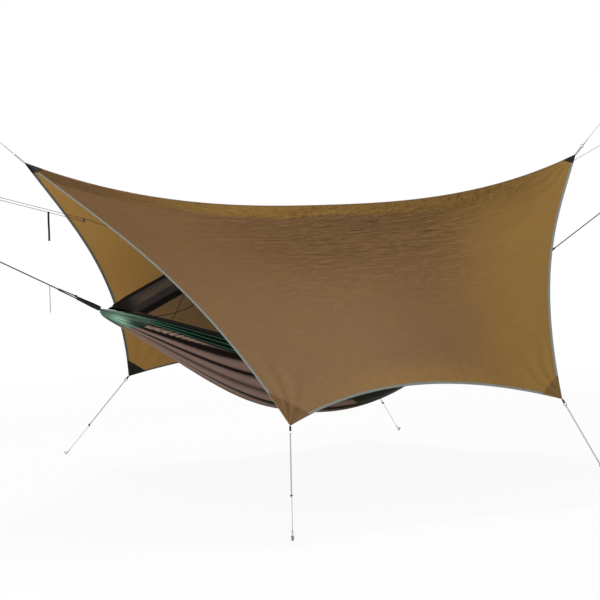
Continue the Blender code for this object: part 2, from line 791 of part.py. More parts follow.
def make_pull_strap(stop, tree, half, look):
    """A strap that hangs by a sewn loop from the lower run of the doubled net cord."""
    share = (STRAP_X + ORIGIN_TO_MIDDLE - stop.x) / (tree.x - stop.x)
    lower = -half if half.z > 0 else half
    place = stop.lerp(tree, share) + lower
    slope = abs((tree - stop).normalized().z)
    inner = NET_CORD_RADIUS + CORD_PLAY
    rise = STRAP_WIDTH * slope / 2.0
    outer = inner + STRAP_THICK
    thick = STRAP_THICK / 2.0
    ring = [point for point in stadium(-rise, rise, outer) if point[0] > -rise - outer * 0.7]
    lead = next(index for index, point in enumerate(ring) if point[0] < -rise)
    tail = [(-rise - outer * 0.95, thick), (-STRAP_LENGTH, thick), (-STRAP_LENGTH, -thick),
            (-rise - outer * 0.95, -thick)]
    upper = [point for point in ring[lead:] if point[1] > 0.0]
    under = [point for point in ring[lead:] if point[1] <= 0.0]
    body = ring[:lead] + upper + tail + under
    across = Matrix(((0.0, 0.0, 1.0), (0.0, 1.0, 0.0), (-1.0, 0.0, 0.0))).transposed().to_4x4()
    outline("net_pull_strap", [body, stadium(-rise, rise, inner)], STRAP_WIDTH / 2.0, look,
            Matrix.Translation(place) @ across)


# Hammock bed

def bed_chord(u):
    """The straight line between the bed's two gathered ends."""
    return BED_LEFT.lerp(BED_RIGHT, u)


def rim_arc():
    """The radius of the rim's circular arc, half its chord and its rise."""
    half = (BED_RIGHT - BED_LEFT).length / 2.0
    rise = math.hypot(RIM_OUT, RIM_SAG)
    return (half * half + rise * rise) / (2.0 * rise), half, rise


def rim_share(u):
    """How far the rim has left the chord at u, as a share of its most."""
    radius, half, rise = rim_arc()
    x = (2.0 * u - 1.0) * half
    return (math.sqrt(radius * radius - x * x) - (radius - rise)) / rise


def rim_outward(side):
    """The way out from the chord to the middle of a rim, square to the chord."""
    chord = (BED_RIGHT - BED_LEFT).normalized()
    out = Vector((0.0, side * RIM_OUT, -RIM_SAG))
    return (out - chord * out.dot(chord)).normalized()


def rim_point(u, side):
    """The bed's near or far rim: an arc in a tilted plane, lifted towards its ends."""
    end = min(max(min(u, 1.0 - u) / RIM_LIFT_SHARE, 0.0), 1.0)
    lift = RIM_LIFT * 6.75 * end * (1.0 - end) ** 2
    root = bed_chord(u) + Vector((0.0, side * BED_END_HALF, lift))
    return root + rim_outward(side) * (rim_arc()[2] * rim_share(u))


def bed_point(u, v):
    """The bed, from the left end at u 0 to the right at 1, near rim at v -1 to far rim at 1."""
    share = rim_share(u)
    rim = rim_point(u, 1.0)
    swell = max(math.sin(math.pi * u), 0.0)
    start = swell ** BED_END_POWER
    deep = BED_THICK * 2.0 + BED_DEPTH * swell ** BED_DEPTH_POWER + BED_END_DEPTH * start
    bulge = BED_END_BULGE * start * (1.0 - share) ** 2
    angle = v * math.pi / 2.0
    rest = max(math.cos(angle), 0.0)
    fold = PLEAT_DEPTH * start * (1.0 - 0.45 * share) * rest ** 0.5 * math.sin(math.pi * PLEATS * (v + 1.0))
    out = (rim.y + fold) * math.sin(angle) + bulge * math.sin(2.0 * angle)
    return Vector((rim.x, out, rim.z - (deep + fold) * rest))


def bed_column(column, v):
    """The u of a column line, which the bands share with the centre and the foot panel at v."""
    first = GATHER_SHARE + 2.0 * SEAM_GAP / (BED_RIGHT - BED_LEFT).length
    seam = FOOT_START + FOOT_SLANT * v
    if column <= CENTRE_CELLS:
        return first + (seam - first) * column / CENTRE_CELLS
    return seam + (1.0 - first - seam) * (column - CENTRE_CELLS) / FOOT_CELLS


def bed_patch(name, columns, v_range, rows, look, parent, edge=None, trim=(0.0, 0.0)):
    """A cut piece of the bed over some columns. `edge` fixes the v that places its column
    lines, and `trim` moves its first and last line along the bed."""
    first, last = columns

    def shape(column, row):
        v = v_range[0] + (v_range[1] - v_range[0]) * row / rows
        u = bed_column(first + column, v if edge is None else edge)
        u += trim[0] if column == 0 else trim[1] if column == last - first else 0.0
        return placed(bed_point(u, v))

    return sheet(name, (last - first, rows), shape, BED_THICK, look, parent)


def make_gather(end_name, rows, look, parent):
    """A bed end's pleated gather."""
    start, stop = (0.0, GATHER_SHARE) if end_name == "left" else (1.0 - GATHER_SHARE, 1.0)

    def shape(column, row):
        return placed(bed_point(start + (stop - start) * column / GATHER_CELLS, 2.0 * row / rows - 1.0))

    sheet("bed_gather_" + end_name, (GATHER_CELLS, rows), shape, BED_THICK, look, parent)


def make_bed(looks, parent):
    """The bed's cut pieces: gathers, side bands, centre and foot panel."""
    total = PLEATS * PLEAT_CELLS
    band_cells = round(total * BAND_SHARE / 2.0)
    low = -1.0 + 2.0 * band_cells / total
    for end_name in ENDS:
        make_gather(end_name, total, looks["green"], parent)
    whole = (0, CENTRE_CELLS + FOOT_CELLS)
    bed_patch("bed_band_near", whole, (-1.0, low), band_cells, looks["green"], parent, low)
    bed_patch("bed_band_far", whole, (-low, 1.0), band_cells, looks["green"], parent, -low)
    seam = SEAM_GAP / (BED_RIGHT - BED_LEFT).length
    seam_v = 2.0 * SEAM_GAP / (math.pi * BED_END_DEPTH)
    share = (low + seam_v, -low - seam_v)
    bed_patch("bed_centre_panel", (0, CENTRE_CELLS), share, total - 2 * band_cells, looks["mauve"],
              parent, None, (0.0, -seam))
    bed_patch("bed_foot_panel", (CENTRE_CELLS, whole[1]), share, total - 2 * band_cells,
              looks["green_dark"], parent, None, (seam, 0.0))


def end_axis(end_name):
    """A bed end's point, its tree and the direction of its rope."""
    if end_name == "left":
        start, tree = placed(BED_LEFT), Vector((0.0, 0.0, 0.0))
    else:
        start, tree = placed(BED_RIGHT), placed(RIGHT_TREE)
    return start, tree, (tree - start).normalized()


def make_sleeve(end_name, look, parent):
    """The turned whipping sleeve that takes a gathered end and the rope's two runs."""
    start, _, pull = end_axis(end_name)
    first = GAP * 2.0
    profile = [
        (0.0, SLEEVE_LENGTH), (SLEEVE_TIP_RADIUS - 0.002, SLEEVE_LENGTH),
        (SLEEVE_TIP_RADIUS, SLEEVE_LENGTH - 0.003), (SLEEVE_TIP_RADIUS, SLEEVE_LENGTH * 0.72),
        (SLEEVE_MOUTH_RADIUS, SLEEVE_LENGTH * 0.30), (SLEEVE_MOUTH_RADIUS, first + 0.003),
        (SLEEVE_MOUTH_RADIUS - 0.002, first), (0.0, first),
    ]
    turned("end_sleeve_" + end_name, profile, 16, look,
           Matrix.Translation(start) @ axes(pull, Vector((0.0, 1.0, 0.0))), parent)


def make_rope(end_name, looks, parent):
    """A suspension rope: two runs from the sleeve to a knot, one on to the tree's eye."""
    start, tree, pull = end_axis(end_name)
    side = Vector((0.0, 1.0, 0.0)).cross(pull).normalized()
    half = knot_half(ROPE_RADIUS)
    knot_in = pull * (half * 0.5)
    face = start + pull * (SLEEVE_LENGTH + GAP)
    split = face + pull * ROPE_SPLIT
    spread = side * (ROPE_RADIUS * 1.25)
    apart = side * (ROPE_RADIUS * 0.9)
    upper_knot = face + spread * 1.6 + pull * half
    last, loop = tree_eye(tree, pull, ROPE_RADIUS)
    runs = [
        along(upper_knot + knot_in, split + apart - knot_in, 2),
        along(face - spread, split - apart - knot_in, 2),
        along(split + knot_in, last - knot_in, CORD_STEPS),
        loop,
    ]
    knots = [(upper_knot, pull), (split, pull), (last, pull)]
    if end_name == "left":
        top = split + pull * TAIL_FROM_SPLIT
        runs.append(along(top, top - Vector((0.0, 0.0, TAIL_LENGTH)), 4))
    knotted("suspension_rope_" + end_name, runs, knots, ROPE_RADIUS, looks["rope"], parent)


def make_toggle(look, parent):
    """The small black bead on a stub of cord under the bed."""
    u = (TOGGLE_X - BED_LEFT.x) / (BED_RIGHT.x - BED_LEFT.x)
    top = placed(bed_point(u, TOGGLE_AT)) - Vector((0.0, 0.0, BED_THICK / 2.0 + GAP))
    stub = tube("stub", [along(top, top - Vector((0.0, 0.0, TOGGLE_LOOP)), 1)], TOGGLE_CORD, look)
    bpy.ops.mesh.primitive_uv_sphere_add(segments=10, ring_count=8, radius=TOGGLE_RADIUS,
                                         location=top - Vector((0.0, 0.0, TOGGLE_LOOP + TOGGLE_RADIUS * 0.7)))
    bead = bpy.context.active_object
    fused("bed_toggle", [stub, bead], look, parent)


# Mosquito net

def net_ends():
    """The two points where the net's top line meets the gathered ends."""
    lift = Vector((0.0, 0.0, NET_END_LIFT))
    return bed_chord(NET_MARGIN) + lift, bed_chord(1.0 - NET_MARGIN) + lift


def net_breaks():
    """The shares along the net of its two peaks."""
    left, right = net_ends()
    return tuple((peak.x - left.x) / (right.x - left.x) for peak in (NET_PEAK_LEFT, NET_PEAK_RIGHT))


def net_top(a):
    """The net's top line: from the left end up to a peak, level, and down to the right end."""
    left, right = net_ends()
    rise, fall = net_breaks()
    if a < rise:
        return left.lerp(NET_PEAK_LEFT, a / rise)
    if a > fall:
        return NET_PEAK_RIGHT.lerp(right, (a - fall) / (1.0 - fall))
    return NET_PEAK_LEFT.lerp(NET_PEAK_RIGHT, (a - rise) / (fall - rise))


def net_share(column):
    """A cell count along the net to a share, with a column line on either peak."""
    rise, fall = net_breaks()
    if column <= NET_SLOPE_CELLS:
        return rise * column / NET_SLOPE_CELLS
    if column <= NET_SLOPE_CELLS + NET_LEVEL_CELLS:
        return rise + (fall - rise) * (column - NET_SLOPE_CELLS) / NET_LEVEL_CELLS
    return fall + (1.0 - fall) * (column - NET_SLOPE_CELLS - NET_LEVEL_CELLS) / NET_SLOPE_CELLS


def hem_of_net(a, side):
    """The net's lower edge, above the zip tape or the far rim."""
    u = NET_MARGIN + (1.0 - 2.0 * NET_MARGIN) * a
    lift = RIM_CLEAR + NET_THICK / 3.0 + (ZIP_HEIGHT + 2.0 * SEAM_GAP if side < 0 else 0.0)
    return rim_point(u, side) + Vector((0.0, 0.0, lift))


def make_net(looks, parent):
    """Two net panels between the rim and the top line."""
    cells = (2 * NET_SLOPE_CELLS + NET_LEVEL_CELLS, 4)
    stand_off = NET_TAPE_THICK / 2.0 + NET_THICK / 2.0 + SEAM_GAP
    for side_name, side in SIDES.items():
        def shape(column, row, side=side):
            a = net_share(column)
            top = net_top(a) + Vector((0.0, side * stand_off, -NET_TOP_DROP))
            share = row / cells[1]
            slack = math.sin(math.pi * share) * math.sin(math.pi * a)
            return placed(top.lerp(hem_of_net(a, side), share) + Vector((0.0, -side * NET_SLACK * slack, 0.0)))

        sheet("net_panel_" + side_name, cells, shape, NET_THICK, looks["net"], parent)


def make_net_tapes(looks, parent):
    """The black tapes that stand between the panels: two slopes and the level ridge."""
    left, right = net_ends()
    level = (NET_PEAK_RIGHT - NET_PEAK_LEFT).normalized()
    slope_left = (NET_PEAK_LEFT - left).normalized() * NET_EYE_ROOM
    slope_right = (right - NET_PEAK_RIGHT).normalized() * NET_EYE_ROOM
    runs = {
        "net_slope_tape_left": (left, NET_PEAK_LEFT - slope_left, NET_SLOPE_CELLS),
        "net_ridge_tape": (NET_PEAK_LEFT - level * NET_EYE_BAR, NET_PEAK_RIGHT + level * NET_EYE_BAR,
                           NET_LEVEL_CELLS),
        "net_slope_tape_right": (NET_PEAK_RIGHT + slope_right, right, NET_SLOPE_CELLS),
    }
    for name, (start, end, cells) in runs.items():
        def shape(column, row, start=start, end=end, cells=cells):
            middle = start.lerp(end, column / cells)
            return placed(middle + Vector((0.0, 0.0, NET_TAPE_RISE - NET_TAPE_DEPTH * (1.0 - row))))

        tape = sheet(name, (cells, 1), shape, NET_TAPE_THICK, looks["tape"],
                     None if name == "net_ridge_tape" else parent)
        if name == "net_ridge_tape":
            for peak, tree in ((NET_PEAK_LEFT, NET_CORD_LEFT_END), (NET_PEAK_RIGHT, NET_CORD_RIGHT_END)):
                away = (peak - tree).normalized()
                bore(tape, placed(peak + away * (NET_EYE_BEND + NET_CORD_RADIUS + GAP)),
                     NET_CORD_RADIUS + CORD_PLAY, NET_TAPE_THICK * 4.0)


def bore(item, centre, radius, length):
    """Cuts a round hole along Y through a piece."""
    bpy.ops.mesh.primitive_cylinder_add(vertices=16, radius=radius, depth=length, location=centre,
                                        rotation=(math.pi / 2.0, 0.0, 0.0))
    cutter = bpy.context.active_object
    cutter.name = item.name + "_bore"
    cutter.hide_render = True
    cutter.display_type = "WIRE"
    for owner in list(cutter.users_collection):
        owner.objects.unlink(cutter)
    bpy.data.collections["cutters"].objects.link(cutter)
    cut = item.modifiers.new("bore", "BOOLEAN")
    cut.operation = "DIFFERENCE"
    cut.object = cutter


def zip_frame():
    """The centre of the zip's arc, the way out from it at mid length, and its chord's way."""
    radius, _, rise = rim_arc()
    chord = (BED_RIGHT - BED_LEFT).normalized()
    out = rim_outward(-1.0)
    middle = bed_chord(0.5) + Vector((0.0, -BED_END_HALF, 0.0))
    return placed(middle + out * (rise - radius)), out, chord


def zip_angle(u):
    """The angle of the rim at u about its arc's centre."""
    radius, half, _ = rim_arc()
    return math.asin((2.0 * u - 1.0) * half / radius)


def zip_point(angle, lift):
    """A point on the zip where the rim is a true arc, `lift` above the rim."""
    centre, out, chord = zip_frame()
    on_arc = centre + (out * math.cos(angle) + chord * math.sin(angle)) * rim_arc()[0]
    return on_arc + Vector((0.0, 0.0, lift))


def make_zip(looks, parent):
    """The zip tape along the near rim, and its slider, which runs on the rim's true arc."""
    def shape(column, row):
        u = ZIP_FROM + (ZIP_TO - ZIP_FROM) * column / ZIP_CELLS
        return placed(rim_point(u, -1.0)) + Vector((0.0, 0.0, RIM_CLEAR + ZIP_HEIGHT * row))

    sheet("net_zip_tape", (ZIP_CELLS, 1), shape, ZIP_THICK, looks["zip"], parent)
    centre, out, chord = zip_frame()
    pivot = bpy.data.objects.new("zip_pivot", None)
    bpy.data.collections["travel_hammock"].objects.link(pivot)
    pivot.matrix_world = Matrix.Translation(centre)
    bpy.context.view_layer.update()
    angle = zip_angle(1.0 - RIM_LIFT_SHARE) - SLIDER_LENGTH / rim_arc()[0]
    middle = zip_point(angle, RIM_CLEAR + ZIP_HEIGHT / 2.0)
    tangent = (chord * math.cos(angle) - out * math.sin(angle)).normalized()
    face = tangent.cross(Vector((0.0, 0.0, 1.0))).normalized()
    down = tangent.cross(face)
    down = -down if down.z > 0.0 else down
    thick = SLIDER_THICK / 2.0
    start = middle + face * (ZIP_THICK / 2.0 + CORD_PLAY + thick)
    body = stadium(-SLIDER_HEIGHT * 0.35, SLIDER_HEIGHT * 0.35, SLIDER_LENGTH / 2.0)
    tab = stadium(SLIDER_HEIGHT * 0.35, SLIDER_TAB, SLIDER_LENGTH * 0.28)
    turn = Matrix((down, face.cross(down), face)).transposed().to_4x4()
    plate = outline("slider_plate", [body], thick, looks["plastic"], Matrix.Translation(start) @ turn)
    pull = outline("slider_pull", [tab], thick * 0.6, looks["plastic"],
                   Matrix.Translation(start + face * thick) @ turn)
    fused("net_zip_slider", [plate, pull], looks["plastic"], pivot)


def make_hammock(looks):
    """Everything that swings on the two tree anchors."""
    axis = bpy.data.objects.new("swing_axis", None)
    bpy.data.collections["travel_hammock"].objects.link(axis)
    make_bed(looks, axis)
    for end_name in ENDS:
        make_sleeve(end_name, looks["sleeve"], axis)
        make_rope(end_name, looks, axis)
    make_toggle(looks["plastic"], axis)
    make_net(looks, axis)
    make_net_tapes(looks, axis)
    make_zip(looks, axis)


def make_lines(looks):
    """The tarp's ridge cords and guy lines, and the net's cords."""
    for end_name in ENDS:
        make_ridge_cord(end_name, looks)
    for side_name in SIDES:
        for end_name in ENDS:
            make_guy(side_name, end_name, looks)
    make_net_cord_left(looks)
    make_net_cord_right(looks)


def make_looks():
    """The materials, by the name each function asks for."""
    ring_white = material("ring_white", RING_WHITE, 0.4)
    ring_dark = material("ring_dark", PLASTIC_BLACK, 0.4)
    return {
        "tarp": material("tarp_nylon", OLIVE_BROWN, 0.55),
        "seam": material("tarp_seam", OLIVE_BROWN, 0.6),
        "binding": material("edge_binding", BINDING_GREY, 0.5),
        "patch_near": material("patch_brown", PATCH_BROWN, 0.6),
        "patch_far": material("patch_navy", PATCH_NAVY, 0.6),
        "mauve": material("bed_nylon", MAUVE_BROWN, 0.5),
        "green": material("bed_green", BOTTLE_GREEN, 0.5),
        "green_dark": material("bed_green_dark", BOTTLE_GREEN, 0.5),
        "net": material("mosquito_net", NET_BLACK, 0.8),
        "tape": material("net_tape", NET_BLACK, 0.7),
        "zip": material("zip_tape", NET_BLACK, 0.6),
        "guy": material("guy_cord", CORD_GREY, 0.6),
        "net_cord": material("net_cord", ROPE_GREY, 0.6),
        "rope": material("rope", ROPE_GREY, 0.7),
        "sleeve": material("sleeve_webbing", WEBBING_BLACK, 0.8),
        "webbing": material("webbing", WEBBING_BLACK, 0.8),
        "plastic": material("black_plastic", PLASTIC_BLACK, 0.4),
        "peg": material("peg_metal", PEG_METAL, 0.35, 1.0),
        "ring_ridge_left": ring_white,
        "ring_near_left": ring_white,
        "ring_ridge_right": ring_dark,
        "ring_near_right": ring_dark,
        "ring_far_left": ring_dark,
        "ring_far_right": ring_dark,
    }


def main():
    """Builds the whole hammock."""
    clear_scene()
    for name in ("travel_hammock", "cutters"):
        if name not in bpy.data.collections:
            bpy.context.scene.collection.children.link(bpy.data.collections.new(name))
    looks = make_looks()
    make_tarp(looks)
    make_lines(looks)
    make_hammock(looks)


main()
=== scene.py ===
"""A travel hammock in its pitch: tarp, bed, net and lines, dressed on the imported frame.

Lengths are metres in the frame's axes: X from the left tree to the right one, Y from
the near panel to the far one and Z up, with the origin where the bed's left rope meets
its tree.
"""

import logging
import math
from dataclasses import dataclass
from enum import Enum
from functools import partial
from typing import Callable, Iterable, Sequence

import bpy
import numpy as np
from bpy.types import Material, Node, NodeSocket, NodeTree, Object
from mathutils import Matrix, Vector


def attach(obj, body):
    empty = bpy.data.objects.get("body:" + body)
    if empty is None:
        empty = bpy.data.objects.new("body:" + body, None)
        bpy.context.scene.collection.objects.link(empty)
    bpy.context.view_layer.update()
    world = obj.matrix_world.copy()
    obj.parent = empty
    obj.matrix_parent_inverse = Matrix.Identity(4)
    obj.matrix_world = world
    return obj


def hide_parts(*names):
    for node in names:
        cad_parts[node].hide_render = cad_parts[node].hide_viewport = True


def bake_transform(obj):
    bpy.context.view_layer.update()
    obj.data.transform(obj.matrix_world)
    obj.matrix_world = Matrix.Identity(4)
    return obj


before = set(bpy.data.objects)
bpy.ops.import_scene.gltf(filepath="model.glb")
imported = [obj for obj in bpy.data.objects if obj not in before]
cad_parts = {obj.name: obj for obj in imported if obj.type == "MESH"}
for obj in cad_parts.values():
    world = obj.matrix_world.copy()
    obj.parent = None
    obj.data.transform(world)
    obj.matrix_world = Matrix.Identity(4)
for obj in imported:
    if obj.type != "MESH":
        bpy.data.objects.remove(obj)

LOG = logging.getLogger("travel_hammock")

MM = 0.001
GAP = 0.3 * MM
ORIGIN = np.array((1.866, 0.0, 0.422))      # the middle between the ridge's ends, in the frame
GROUND = -1.298
ACROSS = Vector((0.0, 1.0, 0.0))
WAVE_SCALE = math.tau / 20.0        # one band of the wave texture to a count

Points = np.ndarray
Pair = tuple[float, float]
Place = tuple[float, float, float]
Surface = Callable[[Points, Points], Points]


class Side(Enum):
    """A half of the tarp, the bed or the net."""

    NEAR = -1.0
    FAR = 1.0


class End(Enum):
    """An end of the pitch."""

    LEFT = -1.0
    RIGHT = 1.0


class Body(Enum):
    """The frame's bodies that new pieces ride on."""

    PITCH = "pitch"
    HAMMOCK = "hammock"


# Where the tarp's and the net's cords meet their trees, from the middle between the ridge's ends
RIDGE_TREES = {End.LEFT: (-1.843, 0.0, 0.186), End.RIGHT: (1.957, 0.0, 0.335)}
NET_TREES = {End.LEFT: (-1.855, 0.0, -0.143), End.RIGHT: (1.956, 0.0, 0.122)}
# How far each peg stands out from its corner along X and Y
PEG_REACHES = {(Side.NEAR, End.LEFT): (0.05, 0.10), (Side.NEAR, End.RIGHT): (0.12, 0.34),
               (Side.FAR, End.LEFT): (0.25, 0.46), (Side.FAR, End.RIGHT): (0.36, 0.12)}


# Colour, nodes and finishes


def linear(colour: str) -> tuple[float, float, float, float]:
    """Turns an sRGB hex colour to linear light.

    Args:
        colour: Six hex digits after a hash.

    Returns:
        Red, green, blue and an alpha of 1.
    """
    channels = [int(colour[start:start + 2], 16) / 255.0 for start in (1, 3, 5)]
    red, green, blue = (c / 12.92 if c <= 0.04045 else ((c + 0.055) / 1.055) ** 2.4 for c in channels)
    return red, green, blue, 1.0


def add_node(tree: NodeTree, kind: str, settings: dict | None = None,
             links: dict | None = None) -> Node:
    """Adds a node with its settings and links.

    Args:
        tree: The material's node tree.
        kind: The node's Blender type, after ShaderNode.
        settings: Node properties by name, and input values by name or index.
        links: Output sockets, or nodes for their first outputs, by the name or index of the input.

    Returns:
        The new node.
    """
    made = tree.nodes.new("ShaderNode" + kind)
    for name, value in (settings or {}).items():
        if isinstance(name, str) and hasattr(made, name):
            setattr(made, name, value)
        else:
            made.inputs[name].default_value = value
    for name, source in (links or {}).items():
        tree.links.new(source.outputs[0] if isinstance(source, Node) else source, made.inputs[name])
    return made


def new_surface(name: str, roughness: float, metallic: float = 0.0, specular: float = 0.5,
                ) -> tuple[Material, NodeTree, Node]:
    """Starts a material.

    Args:
        name: The material's name.
        roughness: Its roughness.
        metallic: 1 for a metal.
        specular: The level of its plain reflection.

    Returns:
        The material, its node tree and its surface shader.
    """
    look = bpy.data.materials.new(name)
    look.use_nodes = True
    tree = look.node_tree
    shader = tree.nodes["Principled BSDF"]
    shader.inputs["Roughness"].default_value = roughness
    shader.inputs["Metallic"].default_value = metallic
    shader.inputs["Specular IOR Level"].default_value = specular
    return look, tree, shader


def scaled(tree: NodeTree, source: NodeSocket, across: float, along: float,
           turn: float = 0.0) -> NodeSocket:
    """A pattern's coordinates, from metres to counts.

    Args:
        tree: The material's node tree.
        source: Coordinates in metres.
        across: The pattern's size the first way, in metres.
        along: Its size the second way.
        turn: Its angle in degrees.

    Returns:
        The socket to feed a texture from.
    """
    made = add_node(tree, "Mapping", {
        "Scale": (1.0 / across, 1.0 / along, 1.0 / across), "Rotation": (0.0, 0.0, math.radians(turn)),
    }, {"Vector": source})
    return made.outputs["Vector"]


def raise_surface(tree: NodeTree, shader: Node, colour: NodeSocket, height: NodeSocket, strength: float,
                  depth: float) -> None:
    """Gives a surface its colour and its relief.

    Args:
        tree: The material's node tree.
        shader: Its surface shader.
        colour: The colour.
        height: The relief's heights, as shares of its depth.
        strength: How much of the relief shows.
        depth: The relief's depth.
    """
    tree.links.new(colour, shader.inputs["Base Color"])
    bump = add_node(tree, "Bump", {"Strength": strength, "Distance": depth}, {"Height": height})
    tree.links.new(bump.outputs["Normal"], shader.inputs["Normal"])


@dataclass(frozen=True)
class Nylon:
    """Plain-woven nylon with a thin coat: soft folds, a dull gloss and a faint weave, darkened by painted
    shade in its creases and marked hollows, and lightened by painted light where its mesh marks it.

    The thread spacing is drawn coarser than the real 0.25 mm, which no render here would show.
    """

    name: str
    colour: str
    tone: str           # where the mesh's "tone" is 1
    # the colour of painted shade in creases and marked hollows
    painted_shade: str         # where the mesh's "hollow" is 1
    # how much painted shade the ripples' and puckers' creases get
    crease_shade: float = 0.6
    roughness: float = 0.6
    specular: float = 0.05
    # the colour of painted light where the mesh marks it
    bloom: str = "#a98b6a"      # where the mesh's "bloom" is 1
    thread: float = 1.1 * MM
    thread_height: float = 0.01 * MM
    mottle: Pair = (300 * MM, 220 * MM)
    mottle_share: float = 0.55
    stray: float = 50 * MM      # how far apart the puckers bend and fade
    ripple: Pair = (240 * MM, 40 * MM)
    ripple_height: float = 40 * MM      # of the noise, whose own swing is a quarter of it
    # in each crease pair the second number is how much painted shade the crease gets
    ripple_crease: Pair = (0.055, 0.6)       # its width in the noise, and its depth
    pucker: Pair = (75 * MM, 150 * MM)
    pucker_height: float = 28 * MM
    pucker_crease: Pair = (0.08, 0.22)

    def profiles(self, tree: NodeTree, flat: NodeSocket,
                 ) -> tuple[NodeSocket, NodeSocket, NodeSocket]:
        """Draws the profiles of the ripples and of the puckers.

        Args:
            tree: The material's node tree.
            flat: The cloth's flat coordinates.

        Returns:
            The ripples, the puckers and how strong the puckers are.
        """
        wave = add_node(tree, "TexNoise", {
            "Scale": 1.0, "Detail": 2.0, "Roughness": 0.5, "Distortion": 0.5}, {
            "Vector": scaled(tree, flat, *self.ripple)})
        wave = add_node(tree, "Math", {"operation": "SUBTRACT", 1: 0.5}, {0: wave.outputs["Fac"]})
        wave = add_node(tree, "Math", {"operation": "ABSOLUTE"}, {0: wave})
        stray = add_node(tree, "TexNoise", {"Scale": 1.0, "Detail": 2.0}, {
            "Vector": scaled(tree, flat, self.stray, self.stray)})
        bent = add_node(tree, "VectorMath", {"operation": "MULTIPLY_ADD", 1: (1.2, 0.8, 0.0)}, {
            0: stray.outputs["Color"], 2: scaled(tree, flat, *self.pucker)})
        facet = add_node(tree, "TexVoronoi", {
            "feature": "DISTANCE_TO_EDGE", "voronoi_dimensions": "2D", "Scale": 1.0, "Randomness": 1.0},
            {"Vector": bent.outputs["Vector"]})
        strong = add_node(tree, "MapRange", {"From Min": 0.36, "From Max": 0.54}, {
            "Value": stray.outputs["Fac"]})
        return wave.outputs[0], facet.outputs[0], strong.outputs["Result"]

    def make(self) -> Material:
        """Builds the material.

        Returns:
            The material.
        """
        look, tree, shader = new_surface(self.name, self.roughness, 0.0, self.specular)
        flat = add_node(tree, "UVMap", {"uv_map": "UVMap"}).outputs["UV"]
        tone, painted_shade, bloom, rippled, puckered = [
            add_node(tree, "Attribute", {"attribute_name": mark}).outputs["Fac"]
            for mark in ("tone", "painted_shade", "bloom", "ripple", "pucker")]
        cloud = add_node(tree, "TexNoise", {"Scale": 1.0, "Detail": 4.0, "Roughness": 0.62}, {
            "Vector": scaled(tree, flat, *self.mottle)})
        uneven = add_node(tree, "Math", {"operation": "SUBTRACT", 1: 0.5}, {0: cloud})
        uneven = add_node(tree, "Math", {"operation": "MULTIPLY_ADD", 1: self.mottle_share}, {
            0: uneven, 2: tone})
        uneven.use_clamp = True
        base = add_node(tree, "Mix", {
            "data_type": "RGBA", 6: linear(self.colour), 7: linear(self.tone)}, {0: uneven})
        # Painted light on the parts that the mesh marks
        base = add_node(tree, "Mix", {"data_type": "RGBA", 7: linear(self.bloom)}, {
            0: bloom, 6: base.outputs[2]})
        # Painted shade: the mesh's marked hollows and the ripples' and puckers' creases darken the colour
        # towards the shade colour
        heights, dark = [], painted_shade
        wave, facet, strong = self.profiles(tree, flat)
        puckered = add_node(tree, "Math", {"operation": "MULTIPLY"}, {0: puckered, 1: strong}).outputs[0]
        for mask, profile, tall, (wide, depth) in (
                (rippled, wave, self.ripple_height, self.ripple_crease),
                (puckered, facet, self.pucker_height, self.pucker_crease)):
            crease = add_node(tree, "MapRange", {
                "From Min": 0.0, "From Max": wide, "To Min": 1.0, "To Max": 0.0}, {"Value": profile})
            crease = add_node(tree, "Math", {"operation": "MULTIPLY"}, {0: crease, 1: mask})
            dark = add_node(tree, "Math", {"operation": "MULTIPLY_ADD", 1: self.crease_shade * depth}, {
                0: crease, 2: dark}).outputs[0]
            raised = add_node(tree, "Math", {"operation": "MULTIPLY", 1: tall / MM}, {0: profile})
            heights.append(add_node(tree, "Math", {"operation": "MULTIPLY"}, {0: raised, 1: mask}).outputs[0])
        base = add_node(tree, "Mix", {"data_type": "RGBA", 7: linear(self.painted_shade)}, {
            0: dark, 6: base.outputs[2]})
        for turn in (0.0, 90.0):
            thread = add_node(tree, "TexWave", {"Scale": WAVE_SCALE, "Distortion": 0.4}, {
                "Vector": scaled(tree, flat, self.thread, self.thread, turn)})
            heights.append(add_node(tree, "Math", {
                "operation": "MULTIPLY", 1: self.thread_height / MM}, {0: thread.outputs["Fac"]}).outputs[0])
        total = heights[0]
        for height in heights[1:]:
            total = add_node(tree, "Math", {"operation": "ADD"}, {0: total, 1: height}).outputs[0]
        raise_surface(tree, shader, base.outputs[2], total, 1.0, MM)
        return look


